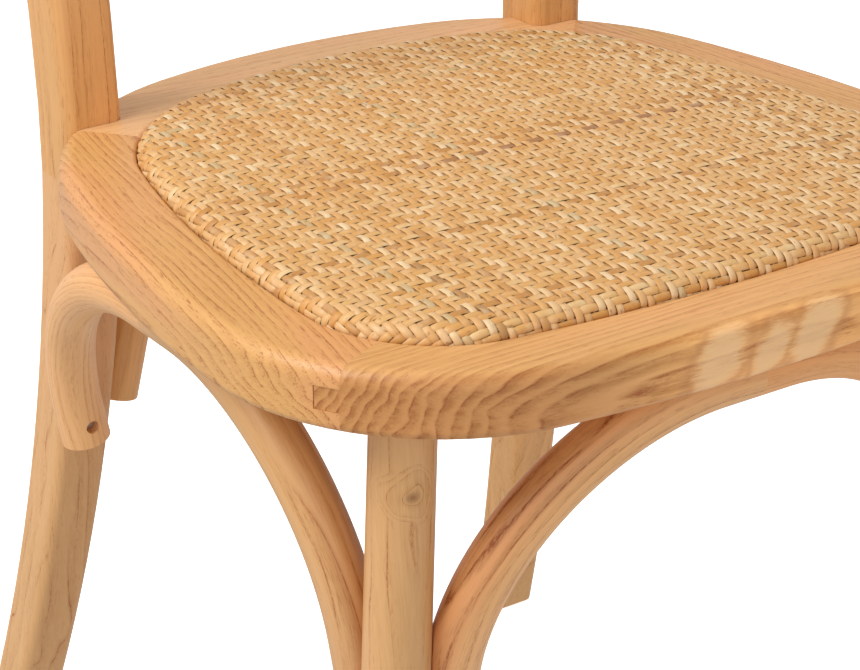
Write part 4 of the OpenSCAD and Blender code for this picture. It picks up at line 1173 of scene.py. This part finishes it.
def plainMaterial(name, first, second, low, high, metallic):
    material, tree, shader = makeMaterial(name)
    marks = useGroup(tree, fineMarks)
    feed(tree, marks.inputs["Place"], objectPlace(tree))
    marks.inputs["Low"].default_value = low
    marks.inputs["High"].default_value = high
    feed(tree, shader.inputs["Base Color"], blendColours(tree, marks.outputs["Mask"], first, second))
    feed(tree, shader.inputs["Roughness"], marks.outputs["Roughness"])
    shader.inputs["Metallic"].default_value = metallic
    return material


def plywoodMaterial(layersPerMetre=333):
    material, tree, shader = makeMaterial("plywood")
    place = objectPlace(tree)
    height = vectorCalc(tree, "DOT_PRODUCT", place, (0, 0, 1), out=1)
    layers = spread(tree, calc(tree, "FRACT", calc(tree, "MULTIPLY", height, layersPerMetre)), 0.4, 0.6)
    grain = noise(tree, place, (14, 500, 90), 3.0, 0.6)
    face = blendColours(tree, grain, (0.80, 0.60, 0.36, 1), (0.62, 0.40, 0.19, 1))
    colour = blendColours(tree, calc(tree, "MULTIPLY", layers, 0.3), face, (0.45, 0.27, 0.12, 1))
    feed(tree, shader.inputs["Base Color"], colour)
    feed(tree, shader.inputs["Roughness"], spread(tree, grain, 0.2, 0.8, 0.5, 0.7, False))
    return material


zinc = plainMaterial("zincSteel", (0.52, 0.52, 0.53, 1), (0.68, 0.68, 0.69, 1), 0.28, 0.48, 1.0)
glidePlastic = plainMaterial("glidePlastic", (0.035, 0.032, 0.03, 1), (0.07, 0.065, 0.06, 1), 0.5, 0.7, 0.0)
plainPieces = {
    "seat_board_screws": zinc,
    "brace_leg_screws": zinc,
    "brace_rail_screws": zinc,
    "post_bolts": zinc,
    "post_barrel_nuts": zinc,
    "glide_nails": zinc,
    "foot_glides": glidePlastic,
    "seat_board": plywoodMaterial(),
}
for node, material in plainPieces.items():
    nodes[node].data.materials.clear()
    nodes[node].data.materials.append(material)
print("metal, plastic and plywood dressed")

# floor


def layFloor():
    bm = bmesh.new()
    bmesh.ops.create_grid(bm, x_segments=1, y_segments=1, size=studio["floorSize"])
    mesh = meshFrom(bm, "floor")
    material, tree, shader = makeMaterial("paleFloor")
    shader.inputs["Base Color"].default_value = studio["floorColor"]
    shader.inputs["Roughness"].default_value = 0.9
    shader.inputs["Emission Color"].default_value = (1, 1, 1, 1)
    shader.inputs["Emission Strength"].default_value = studio["floorGlow"]
    mesh.materials.append(material)
    floor = bpy.data.objects.new("floor", mesh)
    floor.visible_diffuse = False  # the glowing floor lights nothing
    floor.visible_glossy = False
    scene.collection.objects.link(floor)


layFloor()
